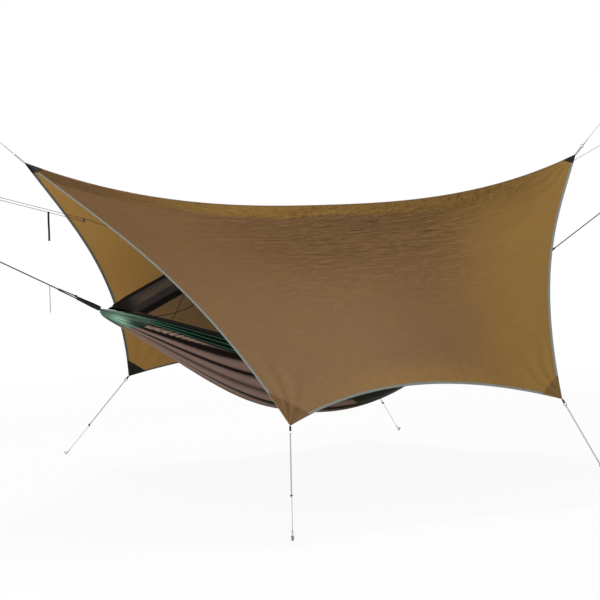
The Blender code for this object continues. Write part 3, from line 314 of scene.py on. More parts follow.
@dataclass(frozen=True)
class Tape:
    """Woven tape: ribs across its length, matt, with its rows of stitches in a second thread."""

    name: str
    colour: str
    thread_colour: str
    stitch_rows: tuple[float, ...] = ()
    rib: float = 1.6 * MM
    roughness: float = 0.75
    rib_height: float = 0.4 * MM
    wear: Pair = (60 * MM, 20 * MM)
    stitch: float = 1.7 * MM        # half the way from one stitch to the next
    thread_half: float = 0.5 * MM

    def make(self) -> Material:
        """Builds the material.

        Returns:
            The material.
        """
        look, tree, shader = new_surface(self.name, self.roughness, 0.0, 0.15)
        flat = add_node(tree, "UVMap", {"uv_map": "UVMap"}).outputs["UV"]
        parts = add_node(tree, "SeparateXYZ", links={"Vector": flat})
        ribs = add_node(tree, "TexWave", {"Scale": WAVE_SCALE, "Distortion": 0.6, "Detail": 1.0}, {
            "Vector": scaled(tree, flat, self.rib, self.rib)})
        worn = add_node(tree, "TexNoise", {"Scale": 1.0, "Detail": 3.0}, {
            "Vector": scaled(tree, flat, *self.wear)})
        shade = add_node(tree, "Math", {"operation": "MULTIPLY_ADD", 1: 0.25, 2: 0.86}, {
            0: worn.outputs["Fac"]})
        tint = add_node(tree, "Mix", {
            "data_type": "RGBA", "blend_type": "MULTIPLY", 0: 1.0, 6: linear(self.colour)}, {
            7: shade})
        colour, height = tint.outputs[2], ribs.outputs["Fac"]
        for row in self.stitch_rows:
            off = add_node(tree, "Math", {"operation": "SUBTRACT", 1: row}, {0: parts.outputs["Y"]})
            off = add_node(tree, "Math", {"operation": "ABSOLUTE"}, {0: off})
            line = add_node(tree, "Math", {"operation": "LESS_THAN", 1: self.thread_half}, {0: off})
            step = add_node(tree, "Math", {"operation": "PINGPONG", 1: self.stitch}, {0: parts.outputs["X"]})
            dash = add_node(tree, "Math", {"operation": "GREATER_THAN", 1: self.thread_half}, {0: step})
            mark = add_node(tree, "Math", {"operation": "MULTIPLY"}, {0: line, 1: dash}).outputs[0]
            colour = add_node(tree, "Mix", {"data_type": "RGBA", 7: linear(self.thread_colour)}, {
                0: mark, 6: colour}).outputs[2]
            height = add_node(tree, "Math", {"operation": "MULTIPLY_ADD", 1: 1.5}, {
                0: mark, 2: height}).outputs[0]
        raise_surface(tree, shader, colour, height, 0.6, self.rib_height)
        return look


@dataclass(frozen=True)
class Braid:
    """Braided polyester: crossing strands that catch the light as a fine herringbone."""

    name: str
    colour: str
    fleck_and_pit_shade: str
    strand: float
    roughness: float = 0.7
    angle: float = 38.0     # a strand's slant across the cord, in degrees

    def make(self) -> Material:
        """Builds the material.

        Returns:
            The material.
        """
        look, tree, shader = new_surface(self.name, self.roughness, 0.0, 0.25)
        flat = add_node(tree, "UVMap", {"uv_map": "UVMap"}).outputs["UV"]
        strands = [add_node(tree, "TexWave", {"Scale": WAVE_SCALE}, {
            "Vector": scaled(tree, flat, self.strand, self.strand, turn)}).outputs["Fac"]
            for turn in (self.angle, -self.angle)]
        cross = add_node(tree, "Math", {"operation": "MAXIMUM"}, dict(enumerate(strands)))
        speck = add_node(tree, "TexNoise", {"Scale": 1.0, "Detail": 2.0}, {
            "Vector": scaled(tree, flat, self.strand * 2.0, self.strand * 5.0)})
        share = add_node(tree, "Math", {"operation": "MULTIPLY"}, {0: cross, 1: speck.outputs["Fac"]})
        share.use_clamp = True
        # The fleck colour is painted shade in the pits between strands, broken up by random flecks
        tint = add_node(tree, "Mix", {
            "data_type": "RGBA", 6: linear(self.fleck_and_pit_shade), 7: linear(self.colour)}, {0: share})
        raise_surface(tree, shader, tint.outputs[2], cross.outputs[0], 0.8, self.strand * 0.25)
        return look


@dataclass(frozen=True)
class KnittedNet:
    """Knitted polyester netting: dark thread round holes that let most of the light through."""

    name: str
    colour: str
    faded: str = "#5a524e"
    doubled: str = "#0c0b0a"    # where the mesh's "layers" is 1
    hole: float = 2.0 * MM      # drawn coarser than the real 1.2 mm, so that it shows
    thread: float = 0.17        # share of the hole's width
    mottle: float = 100 * MM

    def make(self) -> Material:
        """Builds the material.

        Returns:
            The material.
        """
        look, tree, shader = new_surface(self.name, 0.8, 0.0, 0.08)
        flat = add_node(tree, "UVMap", {"uv_map": "UVMap"}).outputs["UV"]
        cells = add_node(tree, "TexVoronoi", {
            "feature": "DISTANCE_TO_EDGE", "Scale": 1.0, "Randomness": 0.25, "voronoi_dimensions": "2D"},
            {"Vector": scaled(tree, flat, self.hole, self.hole, 30.0)})
        layers = add_node(tree, "Attribute", {"attribute_name": "layers"})
        wide = add_node(tree, "Math", {"operation": "MULTIPLY_ADD", 1: 0.7, 2: self.thread / 2.0}, {
            0: layers.outputs["Fac"]})
        cover = add_node(tree, "Math", {"operation": "LESS_THAN"}, {0: cells.outputs["Distance"], 1: wide})
        uneven = add_node(tree, "TexNoise", {"Scale": 1.0, "Detail": 2.0}, {
            "Vector": scaled(tree, flat, self.mottle, self.mottle)})
        tint = add_node(tree, "Mix", {
            "data_type": "RGBA", 6: linear(self.colour), 7: linear(self.faded)}, {0: uneven.outputs["Fac"]})
        tint = add_node(tree, "Mix", {"data_type": "RGBA", 7: linear(self.doubled)}, {
            0: layers.outputs["Fac"], 6: tint.outputs[2]})
        tree.links.new(tint.outputs[2], shader.inputs["Base Color"])
        tree.links.new(cover.outputs[0], shader.inputs["Alpha"])
        return look


@dataclass(frozen=True)
class Moulded:
    """Injection-moulded acetal: an even colour, a soft gloss and a fine spark-eroded grain."""

    name: str
    colour: str
    worn: str
    roughness: float = 0.4
    grain: float = 0.5 * MM
    patch: float = 6 * MM

    def make(self) -> Material:
        """Builds the material.

        Returns:
            The material.
        """
        look, tree, shader = new_surface(self.name, self.roughness)
        place = add_node(tree, "TexCoord").outputs["Object"]
        grain = add_node(tree, "TexNoise", {"Scale": 1.0 / self.grain, "Detail": 1.0}, {"Vector": place})
        patchy = add_node(tree, "TexNoise", {"Scale": 1.0 / self.patch, "Detail": 3.0}, {"Vector": place})
        tint = add_node(tree, "Mix", {
            "data_type": "RGBA", 6: linear(self.colour), 7: linear(self.worn)}, {0: patchy.outputs["Fac"]})
        raise_surface(tree, shader, tint.outputs[2], grain.outputs["Fac"], 0.3, 0.1 * MM)
        return look


@dataclass(frozen=True)
class DrawnAluminium:
    """Drawn aluminium rod: satin, with scratches along it from the ground."""

    name: str
    colour: str = "#b9bcbf"
    scratched: str = "#8d9093"
    roughness: float = 0.38
    scratch: Pair = (0.6 * MM, 25 * MM)

    def make(self) -> Material:
        """Builds the material.

        Returns:
            The material.
        """
        look, tree, shader = new_surface(self.name, self.roughness, 1.0)
        place = add_node(tree, "TexCoord").outputs["Object"]
        across, along = self.scratch
        marks = add_node(tree, "Mapping", {"Scale": (1 / across, 1 / across, 1 / along)}, {"Vector": place})
        scratch = add_node(tree, "TexNoise", {"Scale": 1.0, "Detail": 3.0}, {
            "Vector": marks.outputs["Vector"]})
        tint = add_node(tree, "Mix", {
            "data_type": "RGBA", 6: linear(self.scratched), 7: linear(self.colour)}, {
            0: scratch.outputs["Fac"]})
        raise_surface(tree, shader, tint.outputs[2], scratch.outputs["Fac"], 0.25, 0.1 * MM)
        return look


class Looks:
    """Every finish of the hammock, built once."""

    def __init__(self) -> None:
        """Builds the materials."""
        # Tarp: dull brown outside and honey-coloured inside; the honey colour and the outside's ochre are
        # painted light coming through the cloth, and the inside's darker tone under the ridge is painted
        # shade
        self.tarp_outer = Nylon("coated_nylon_outside", "#795c3f", "#896a3a", "#463220", specular=0.0).make()
        self.tarp_inner = Nylon("coated_nylon_inside", "#8c6a37", "#785b33", "#5f4724", 0.2,
                                ripple_height=4 * MM, pucker_height=5 * MM).make()
        # Patches: two layers, so flatter than the cloth round them and darker, partly in their own colour and
        # partly as painted shade where less light comes through
        self.patch_plain = Nylon("patch_nylon_brown", "#6e5338", "#7a5e3a", "#3a2b1a", 0.3).make()
        self.patch_dark = Nylon("patch_nylon_dark_brown", "#665030", "#80663a", "#2f2415", 0.3).make()
        self.patch_black = Nylon("patch_nylon_black", "#191817", "#232120", "#0b0a0a", 0.3).make()
        # Bed: ripstop with a little more gloss, painted shade nearly black in its creases, and painted
        # highlight in the tone colour of its gathers, bands and ruffles
        self.bed_mauve, self.bed_green, self.bed_rim, self.bed_foot = [
            Nylon(*finish, ripple_height=4 * MM).make() for finish in (
                ("ripstop_nylon_mauve", "#66524a", "#8c776b", "#0a0402", 0.15, 0.5, 0.08),
                ("ripstop_nylon_green", "#0a140f", "#83a992", "#020403", 0.1, 0.42, 0.12),
                ("ripstop_nylon_green_rim", "#07100c", "#3d7a60", "#010202", 0.1, 0.42, 0.10),
                ("ripstop_nylon_dark_green", "#131e0b", "#1e2b14", "#060a04", 0.15, 0.42, 0.15))]
        # Tapes and webbing: matt, with ribs and paler stitches
        self.binding = Tape("grosgrain_tape_grey", "#7c807a", "#989b93", (9.5 * MM, 16.5 * MM)).make()
        # The far binding: the same grey tape, darkened as painted shade
        self.binding_shaded = Tape("grosgrain_tape_dark_grey", "#4b4f48", "#63665f",
                                   (9.5 * MM, 16.5 * MM)).make()
        self.seam = Tape("felled_seam_nylon", "#76593a", "#5d4629", (3 * MM, 13 * MM), 3.0 * MM, 0.5).make()
        self.net_tape = Tape("grosgrain_tape_black", "#080706", "#161413", (3 * MM, 33 * MM)).make()
        self.zip_tape = Tape("coil_zip_black", "#090807", "#1c1917", (1.5 * MM,), 1.4 * MM).make()
        self.webbing = Tape("polyester_webbing_black", "#141416", "#28282b", (), 1.2 * MM).make()
        self.light_webbing = Tape("polyester_webbing_grey", "#a6a9ae", "#77797d", (), 1.2 * MM).make()
        # Cords: matt, with painted shade in the pits between strands and random flecks
        self.sleeve = Braid("whipping_cord_black", "#17171a", "#09090a", 1.2 * MM).make()
        self.guy = Braid("braided_polyester_grey", "#989a9d", "#6a6b6e", 0.9 * MM).make()
        self.net_cord = Braid("braided_polyester_dark", "#29292c", "#0d0d0e", 0.9 * MM).make()
        self.rope = Braid("braided_polyester_rope", "#454549", "#19191b", 2.2 * MM).make()
        # Net: a dark veil, black where it is doubled
        self.net = KnittedNet("polyester_netting_black", "#3a3431").make()
        # Hardware: a soft gloss on the mouldings, a satin one on the pegs
        self.white_acetal = Moulded("acetal_white", "#dfe0df", "#c9cac8").make()
        self.black_acetal = Moulded("acetal_black", "#141415", "#1f1f20").make()
        self.peg = DrawnAluminium("drawn_aluminium").make()


# Meshes


def place_piece(obj: Object, body: Body, replaced: Iterable[str] = (),
                ) -> Object:
    """Puts a new piece on its body, in place of its plain solids.

    Args:
        obj: The piece.
        body: The body that carries it.
        replaced: The frame's nodes that it stands for.

    Returns:
        The piece.
    """
    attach(obj, body.value)
    if replaced:
        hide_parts(*replaced)
    LOG.info("%s rides on %s", obj.name, body.value)
    return obj


def mesh_object(name: str, points: Points, faces: Sequence, uvs: Points, look: Material,
                ) -> Object:
    """Makes a smooth mesh object.

    Args:
        name: The object's name.
        points: The vertices, one row each.
        faces: Vertex numbers of each face.
        uvs: A flat place in metres for each vertex.
        look: The material.

    Returns:
        The object, linked to the scene.
    """
    mesh = bpy.data.meshes.new(name)
    mesh.from_pydata(points.tolist(), [], faces if isinstance(faces, list) else faces.tolist())
    layer = mesh.uv_layers.new(name="UVMap")
    corners = np.empty(len(mesh.loops), np.int32)
    mesh.loops.foreach_get("vertex_index", corners)
    layer.data.foreach_set("uv", uvs[corners].astype(np.float32).ravel())
    mesh.shade_smooth()
    mesh.materials.append(look)
    obj = bpy.data.objects.new(name, mesh)
    bpy.context.scene.collection.objects.link(obj)
    return obj


def cloth_sheet(name: str, surface: Surface, cells: tuple[int, int], size: Pair,
                look: Material, thickness: float = 0.0, inner: Material | None = None,
                marks: dict[str, Surface] | None = None) -> Object:
    """Makes a sheet from a surface over two shares.

    Args:
        name: The sheet's name.
        surface: Takes two grids of shares, and returns their points.
        cells: Cells each way.
        size: The cut's size each way, in metres, for the weave.
        look: The outer face's material.
        thickness: The cloth's thickness, or 0 for a bare surface.
        inner: The inner face's material, if it differs.
        marks: Values for the material at each point, by name.

    Returns:
        The sheet.
    """
    first, second = np.meshgrid(np.linspace(0.0, 1.0, cells[0] + 1), np.linspace(0.0, 1.0, cells[1] + 1))
    points = surface(first, second).reshape(-1, 3)
    corner = (np.arange(cells[1])[:, None] * (cells[0] + 1) + np.arange(cells[0])[None, :]).ravel()
    faces = np.stack([corner, corner + 1, corner + cells[0] + 2, corner + cells[0] + 1], axis=1)
    uvs = np.stack([first.ravel() * size[0], second.ravel() * size[1]], axis=1)
    obj = mesh_object(name, points, faces, uvs, look)
    for mark, values in (marks or {}).items():
        layer = obj.data.attributes.new(mark, "FLOAT", "POINT")
        layer.data.foreach_set("value", (values(first, second) + 0.0 * first).ravel().astype(np.float32))
    if inner is not None:
        obj.data.materials.append(inner)
    if thickness:
        thick = obj.modifiers.new("thickness", "SOLIDIFY")
        thick.thickness = thickness
        thick.offset = 0.0
        thick.material_offset = 1 if inner is not None else 0
    return obj


def extent(surface: Surface, cells: int = 60) -> tuple[float, float, float]:
    """Measures a surface.

    Args:
        surface: Takes two grids of shares, and returns their points.
        cells: How finely it is measured.

    Returns:
        Its greatest length each way and its area.
    """
    shares = np.linspace(0.0, 1.0, cells + 1)
    points = surface(*np.meshgrid(shares, shares))
    along, across = np.diff(points, axis=1), np.diff(points, axis=0)
    wide = np.linalg.norm(along, axis=2).sum(axis=1).max()
    tall = np.linalg.norm(across, axis=2).sum(axis=0).max()
    area = np.linalg.norm(np.cross(along[:-1], across[:, :-1]), axis=2).sum()
    return float(wide), float(tall), float(area)


def swept(name: str, path: Points, sideways: Points, outline: Points, look: Material,
          closed: bool = False) -> Object:
    """Sweeps a closed outline along a path.

    Args:
        name: The object's name.
        path: The path's points.
        sideways: At each point, the way the outline's first axis points.
        outline: The outline's corners, in metres.
        look: The material.
        closed: True for a path that ends where it starts.

    Returns:
        The swept piece.
    """
    ahead = np.gradient(path, axis=0)
    if closed:
        ahead[0] = ahead[-1] = path[1] - path[-2]
    ahead /= np.linalg.norm(ahead, axis=1)[:, None]
    first = sideways - ahead * (sideways * ahead).sum(axis=1)[:, None]
    first /= np.linalg.norm(first, axis=1)[:, None]
    second = np.cross(ahead, first)
    count, around = len(path), len(outline)
    rings = path[:, None] + first[:, None] * outline[None, :, :1] + second[:, None] * outline[None, :, 1:]
    start = (np.arange(count - 1)[:, None] * around + np.arange(around)[None, :])
    after = (np.arange(count - 1)[:, None] * around + (np.arange(around) + 1)[None, :] % around)
    faces = np.stack([start, after, after + around, start + around], axis=2).reshape(-1, 4).tolist()
    if not closed:
        faces += [list(range(around))[::-1], list(range((count - 1) * around, count * around))]
    uvs = np.stack([np.repeat(run_along(path), around), np.tile(run_along(outline), count)], axis=1)
    return mesh_object(name, rings.reshape(-1, 3), faces, uvs, look)


def circle(radius: float, corners: int) -> Points:
    """A round outline for a swept piece."""
    angle = np.linspace(0.0, math.tau, corners, endpoint=False)
    return np.stack([np.cos(angle), np.sin(angle)], axis=1) * radius


def flat_band(width: float, thickness: float) -> Points:
    """A webbing's outline, with rounded edges.

    Args:
        width: Its width.
        thickness: Its thickness.

    Returns:
        The outline's corners.
    """
    w, t = width / 2.0, thickness / 2.0
    half = [(w - t, t), (w - 0.3 * t, 0.7 * t), (w, 0.0), (w - 0.3 * t, -0.7 * t), (w - t, -t)]
    middle = [(0.3 * w, t), (-0.3 * w, t)]
    ring = middle[::-1] + half + [(0.3 * w, -t), (-0.3 * w, -t)] + [(-x, -y) for x, y in half]
    return np.array(ring)[::-1]


def frames_along(path: Points, start: Vector) -> Points:
    """Side ways along a path that turn as little as they can.

    Args:
        path: The path's points.
        start: Roughly the way to point at its start.

    Returns:
        A unit vector for each point.
    """
    ahead = np.gradient(path, axis=0)
    ahead /= np.linalg.norm(ahead, axis=1)[:, None]
    side = np.array(start)
    ways = []
    for way in ahead:
        side = side - way * side.dot(way)
        side /= np.linalg.norm(side)
        ways.append(side)
    return np.array(ways)


def line_points(start: Vector, end: Vector, step: float = 0.05) -> list[Vector]:
    """Evenly spaced points from start to end."""
    count = max(1, round((end - start).length / step))
    return [start.lerp(end, index / count) for index in range(count + 1)]


def arc(centre: Vector, first: Vector, second: Vector, radius: float, stop: float = 180.0,
        steps: int = 12) -> list[Vector]:
    """Points on an arc in the plane of two ways, from the first one on.

    Args:
        centre: The arc's centre.
        first: The way to its first point.
        second: The way a quarter turn on.
        radius: Its radius.
        stop: Its angle in degrees.
        steps: How many pieces it has.

    Returns:
        Its points.
    """
    angles = [math.radians(stop * index / steps) for index in range(steps + 1)]
    return [centre + (first * math.cos(angle) + second * math.sin(angle)) * radius for angle in angles]


def rows_of(points: Iterable[Vector]) -> Points:
    """Blender's vectors as rows of an array."""
    return np.array([tuple(point) for point in points])


def run_along(points: Points) -> Points:
    """How far each point is along its line."""
    return np.concatenate([[0.0], np.linalg.norm(np.diff(points, axis=0), axis=1).cumsum()])


def from_end(share: Points) -> Points:
    """How far shares are from the nearer end."""
    return np.minimum(share, 1.0 - share)


def smooth(share: Points, low: float, high: float) -> Points:
    """Rises smoothly from 0 at low to 1 at high."""
    part = np.clip((share - low) / (high - low), 0.0, 1.0)
    return part * part * (3.0 - 2.0 * part)


def unit(vectors: Points) -> Points:
    """The vectors at length 1."""
    return vectors / np.maximum(np.linalg.norm(vectors, axis=-1, keepdims=True), 1e-12)


def vec(point: Iterable[float]) -> Vector:
    """A point as a Blender vector."""
    return Vector(tuple(float(value) for value in point))


# Camera, floor and light


@dataclass(frozen=True)
class Lamp:
    """A large soft lamp: where it hangs, its power in watts and its size."""

    name: str
    place: Place
    power: float
    size: float


@dataclass
class Studio:
    """The camera, a pale floor and soft light."""

    stand: Place = (-1.8359, -7.3044, 0.3037)
    heading: float = 25.879     # degrees from Y towards X
    pitch: float = -4.420
    roll: float = -1.261
    lens: float = 92.4
    sensor: float = 36.0
    floor_radius: float = 5.2
    floor_fade: Pair = (0.55, 0.98)      # where it fades out, as shares of its radius
    floor_glow: float = 0.92
    world_strength: float = 0.42
    aim_drop: float = 0.9       # the lamps' aim, below the ridge
    lamps: tuple[Lamp, ...] = (
        Lamp("key_lamp", (-2.6, -5.4, 4.6), 98.0, 3.0),
        Lamp("fill_lamp", (6.8, -5.0, 2.2), 30.0, 4.0),
        Lamp("top_lamp", (2.6, 1.6, 4.6), 150.0, 1.2),
        Lamp("left_lamp", (-3.2, -2.4, -0.5), 95.0, 1.6),
        Lamp("low_lamp", (-3.4, -4.9, -0.6), 175.0, 2.2),
    )

    def make_camera(self) -> None:
        """Places the camera."""
        heading, pitch, roll = (math.radians(a) for a in (self.heading, self.pitch, self.roll))
        ahead = Vector((math.sin(heading) * math.cos(pitch), math.cos(heading) * math.cos(pitch),
                        math.sin(pitch)))
        right = Vector((math.cos(heading), -math.sin(heading), 0.0))
        up = right.cross(ahead)
        right, up = right * math.cos(roll) + up * math.sin(roll), up * math.cos(roll) - right * math.sin(roll)
        data = bpy.data.cameras.new("photo_camera")
        data.lens, data.sensor_width = self.lens, self.sensor
        data.clip_start, data.clip_end = 0.1, 100.0
        camera = bpy.data.objects.new("photo_camera", data)
        turned = Matrix((right, up, -ahead)).transposed().to_4x4()
        camera.matrix_world = Matrix.Translation(self.stand) @ turned
        bpy.context.scene.collection.objects.link(camera)
        bpy.context.scene.camera = camera

    def make_world(self) -> None:
        """Lights the scene from all round, and shows plain white behind it."""
        world = bpy.data.worlds.new("studio")
        bpy.context.scene.world = world
        world.use_nodes = True
        tree = world.node_tree
        tree.nodes.clear()
        path = add_node(tree, "LightPath")
        seen = add_node(tree, "Math", {"operation": "MAXIMUM"}, {
            0: path.outputs["Is Camera Ray"], 1: path.outputs["Is Glossy Ray"]})
        seen = add_node(tree, "Math", {"operation": "MAXIMUM"}, {
            0: seen, 1: path.outputs["Is Transmission Ray"]})
        light = add_node(tree, "Background", {"Color": linear("#fdfcfa"), "Strength": self.world_strength})
        white = add_node(tree, "Background", {"Color": linear("#ffffff"), "Strength": 1.0})
        both = add_node(tree, "MixShader", links={0: seen, 1: light, 2: white})
        add_node(tree, "OutputWorld", links={"Surface": both})

    def make_floor(self) -> None:
        """Lays a pale floor that fades into the white round it and keeps the shadow."""
        radius, (fade_from, fade_to) = self.floor_radius, self.floor_fade
        rim = np.array([(math.cos(a) * radius, math.sin(a) * radius, 0.0)
                        for a in np.linspace(0.0, math.tau, 96, endpoint=False)])
        look = bpy.data.materials.new("pale_floor")
        look.use_nodes = True
        tree = look.node_tree
        tree.nodes.clear()
        place = add_node(tree, "TexCoord").outputs["Object"]
        away = add_node(tree, "VectorMath", {"operation": "LENGTH"}, {0: place})
        edge = add_node(tree, "MapRange", {
            "From Min": radius * fade_from, "From Max": radius * fade_to}, {"Value": away.outputs["Value"]})
        speckle = add_node(tree, "TexNoise", {"Scale": 60.0, "Detail": 2.0}, {"Vector": place})
        tint = add_node(tree, "Mix", {
            "data_type": "RGBA", 6: linear("#f1f1ef"), 7: linear("#f6f6f4")}, {0: speckle.outputs["Fac"]})
        matt = add_node(tree, "BsdfDiffuse", links={"Color": tint.outputs[2]})
        lit = add_node(tree, "Emission", {"Color": linear("#ffffff"), "Strength": 1.0})
        path = add_node(tree, "LightPath")
        lift = add_node(tree, "Math", {"operation": "MULTIPLY", 1: self.floor_glow}, {
            0: path.outputs["Is Camera Ray"]})
        face = add_node(tree, "MixShader", links={0: lift, 1: matt, 2: lit})
        clear = add_node(tree, "BsdfTransparent")
        whole = add_node(tree, "MixShader", links={0: edge, 1: face, 2: clear})
        add_node(tree, "OutputMaterial", links={"Surface": whole})
        floor = mesh_object("floor", rim, [list(range(len(rim)))], rim[:, :2], look)
        floor.location = (float(ORIGIN[0]), 0.0, GROUND)

    def make_lamps(self) -> None:
        """Hangs large soft lamps in front, one high behind the ridge and two low on the left."""
        aim = vec(ORIGIN) - Vector((0.0, 0.0, self.aim_drop))
        for lamp in self.lamps:
            data = bpy.data.lights.new(lamp.name, "AREA")
            data.energy, data.size = lamp.power, lamp.size
            hung = bpy.data.objects.new(lamp.name, data)
            hung.location = lamp.place
            hung.rotation_euler = (aim - hung.location).to_track_quat("-Z", "Y").to_euler()
            hung.visible_camera = False
            bpy.context.scene.collection.objects.link(hung)

    def build(self) -> None:
        """Makes the camera, the world, the floor and the lamps."""
        self.make_camera()
        self.make_world()
        self.make_floor()
        self.make_lamps()
        bpy.context.scene.view_settings.view_transform = "Standard"


# Tarp


@dataclass
class Tarp:
    """Two coated nylon panels on a sagging ridge, bound with tape and patched at the corners."""

    looks: Looks
    ridge_half: float = 1.625
    ridge_sag: float = 0.248
    ridge_power: float = 2.517
    corner_x: float = 0.745
    corner_y: float = 1.079
    corner_drop: float = 1.220
    drop: float = 1.62          # a panel's depth down its slope
    bow: Place = (0.034, 0.097, 0.122)
    bow_skew: float = -0.465
    hem_in: float = 0.152
    hem_up: float = 0.111
    cloth: float = 0.6 * MM
    ripple_rise: float = 2.7 * MM
    fine_rise: float = 2.6 * MM
    pucker_rise: float = 6.5 * MM
    binding_width: float = 13 * MM
    binding_length: float = 5.0
    binding_half: float = 1.3 * MM
    seam_half: float = 8 * MM
    seam_length: float = 3.3
    seam_thick: float = 1.6 * MM
    patch_side: float = 125 * MM
    small_patch_side: float = 94 * MM
    ridge_patch_side: float = 90 * MM
    patch_thick: float = 3.0 * MM
    columns: int = 300
    rows: int = 210

    def ridge(self, a: Points) -> Points:
        """The ridge's line.

        Args:
            a: Shares from its left end.

        Returns:
            Its points.
        """
        reach = 2.0 * a - 1.0
        sag = -self.ridge_sag * (1.0 - np.abs(reach) ** self.ridge_power)
        return np.stack([self.ridge_half * reach, 0.0 * a, sag], axis=-1)

    def side_edge(self, b: Points, end: End) -> Points:
        """A side edge of the near panel.

        Args:
            b: Shares from the ridge down.
            end: Which edge.

        Returns:
            Its points.
        """
        pull = 4.0 * b * (1.0 - b) * (1.0 + self.bow_skew * (1.0 - 2.0 * b))
        x = end.value * (self.ridge_half + (self.corner_x - self.ridge_half) * b - self.bow[0] * pull)
        return np.stack([x, -self.corner_y * b + self.bow[1] * pull,
                         -self.corner_drop * b + self.bow[2] * pull], axis=-1)

    def hem(self, a: Points) -> Points:
        """The near panel's bottom edge.

        Args:
            a: Shares from its left corner.

        Returns:
            Its points.
        """
        pull = 4.0 * a * (1.0 - a)
        return np.stack([self.corner_x * (2.0 * a - 1.0), -self.corner_y + self.hem_in * pull,
                         -self.corner_drop + self.hem_up * pull], axis=-1)

    def plain(self, a: Points, b: Points) -> Points:
        """The near panel's smooth shape between its edges.

        Args:
            a: Shares along the ridge.
            b: Shares down the panel.

        Returns:
            Its points.
        """
        u, v = a[..., None], b[..., None]
        ends = np.array((self.ridge_half, 0.0, 0.0)), np.array((self.corner_x, 0.0, 0.0))
        low = np.array((0.0, -self.corner_y, -self.corner_drop))
        corners = (2.0 * u - 1.0) * (ends[0] * (1.0 - v) + ends[1] * v) + low * v
        return (self.side_edge(b, End.LEFT) * (1.0 - u) + self.side_edge(b, End.RIGHT) * u
                + self.ridge(a) * (1.0 - v) + self.hem(a) * v - corners)

    def normal(self, a: Points, b: Points) -> Points:
        """The near panel's outward way.

        Args:
            a: Shares along the ridge.
            b: Shares down the panel.

        Returns:
            Unit vectors.
        """
        step = 0.001
        a, b = np.clip(a, 0.0, 1.0 - step), np.clip(b, 0.0, 1.0 - step)
        base = self.plain(a, b)
        return unit(np.cross(self.plain(a, b + step) - base, self.plain(a + step, b) - base))

    def folds(self, a: Points, b: Points, side: Side) -> Points:
        """How far tension folds lift the cloth.

        Args:
            a: Shares along the ridge.
            b: Shares down the panel.
            side: Which panel.

        Returns:
            Metres outward.
        """
        lift = 3.0 * MM * np.sin(math.pi * a) * np.sin(math.pi * b) * np.sin(math.tau * (1.3 * a + 0.7 * b))
        edge = np.minimum.reduce([a, 1.0 - a, b, 1.0 - b])
        free = smooth(edge, 0.0, 0.03)
        shift = 0.9 if side is Side.FAR else 0.0
        # From each corner: its place, the folds' height in millimetres, their reach and how close they are
        for at_a, at_b, tall, reach, count in ((0.0, 1.0, 1.5, 0.13, 13.0), (1.0, 1.0, 1.8, 0.13, 12.0),
                                               (0.0, 0.0, 1.6, 0.18, 12.0), (1.0, 0.0, 2.0, 0.20, 13.0)):
            wide = 2.0 * (self.ridge_half * (1.0 - b) + self.corner_x * b)
            out, down = np.abs(a - at_a) * wide, np.abs(b - at_b) * self.drop
            far = np.hypot(out, down)
            angle = np.arctan2(down, out)
            spread = (far / reach) * np.exp(1.0 - far / reach)
            wave = np.sin(count * angle + 9.0 * at_a + shift + 1.4 * np.sin(far / 0.05))
            lift = lift + tall * MM * spread * wave * free * np.sin(angle * 2.0) ** 0.5
        hang = np.exp(-(1.0 - b) / 0.07) * smooth(a, 0.06, 0.3) * smooth(1.0 - a, 0.06, 0.3)
        lift = lift + 0.7 * MM * hang * free * np.sin(math.tau * a * 1.49 / 0.062 + 2.0 * np.sin(9.0 * a))
        return lift + self.ripples(a, b, side) * free

    def rippled(self, a: Points, b: Points) -> Points:
        """Where the slack under the ridge lets the cloth ripple, from 0 to 1."""
        return (smooth(b, 0.05, 0.13) * smooth(0.80 - b, 0.0, 0.5) * smooth(a, 0.12, 0.40)
                * smooth(0.92 - a, 0.04, 0.24))

    def puckered(self, a: Points, b: Points) -> Points:
        """Where the stitched ridge draws the cloth up, from 0 to 1."""
        return (smooth(0.165 - b, 0.0, 0.11) * (0.5 + 0.5 * smooth(a, 0.15, 0.35))
                * smooth(0.98 - a, 0.0, 0.22))

    def ripples(self, a: Points, b: Points, side: Side) -> Points:
        """How far ripples and puckers lift the cloth.

        Args:
            a: Shares along the ridge.
            b: Shares down the panel.
            side: Which panel.

        Returns:
            Metres outward.
        """
        across = a * 2.0 * (self.ridge_half * (1.0 - b) + self.corner_x * b)
        down = b * self.drop + (0.31 if side is Side.FAR else 0.0)
        bent = 2.3 * np.sin(across / 0.17 + down / 0.11) + 1.7 * np.sin(across / 0.083 - down / 0.19 + 1.0)
        long = np.sin(math.tau * down / 0.074 + bent)
        long = long * (0.55 + 0.45 * np.sin(across / 0.12 + down / 0.05 + bent))
        fine = 0.5 - np.abs(np.sin(math.pi * down / 0.040 + 0.9 * np.sin(across / 0.06 + 2.0) + 0.6 * bent))
        fine = fine * (0.5 + 0.5 * np.sin(across / 0.034 + 2.0 * np.sin(down / 0.03)))
        weave = 2.1 * np.sin(across / 0.13) + 1.6 * np.sin(down / 0.035 + across / 0.21)
        drawn = 0.5 - np.abs(np.sin(math.pi * (across - 0.7 * down) / 0.054 + weave))
        drawn = drawn * (0.6 + 0.4 * np.sin(across / 0.09 + down / 0.03 + 2.0))
        return ((self.ripple_rise * long + self.fine_rise * fine) * self.rippled(a, b)
                + self.pucker_rise * drawn * self.puckered(a, b) * smooth(b, 0.005, 0.03))

    def cloth_at(self, a: Points, b: Points, side: Side, off: Points | float = 0.0) -> Points:
        """The draped panel in the frame.

        Args:
            a: Shares along the ridge.
            b: Shares down the panel.
            side: Which panel.
            off: How far outside the cloth's middle.

        Returns:
            The points.
        """
        lift = self.folds(a, b, side) + off
        near = self.plain(a, b) + self.normal(a, b) * np.asarray(lift)[..., None]
        return near * np.array((1.0, -side.value, 1.0)) + ORIGIN

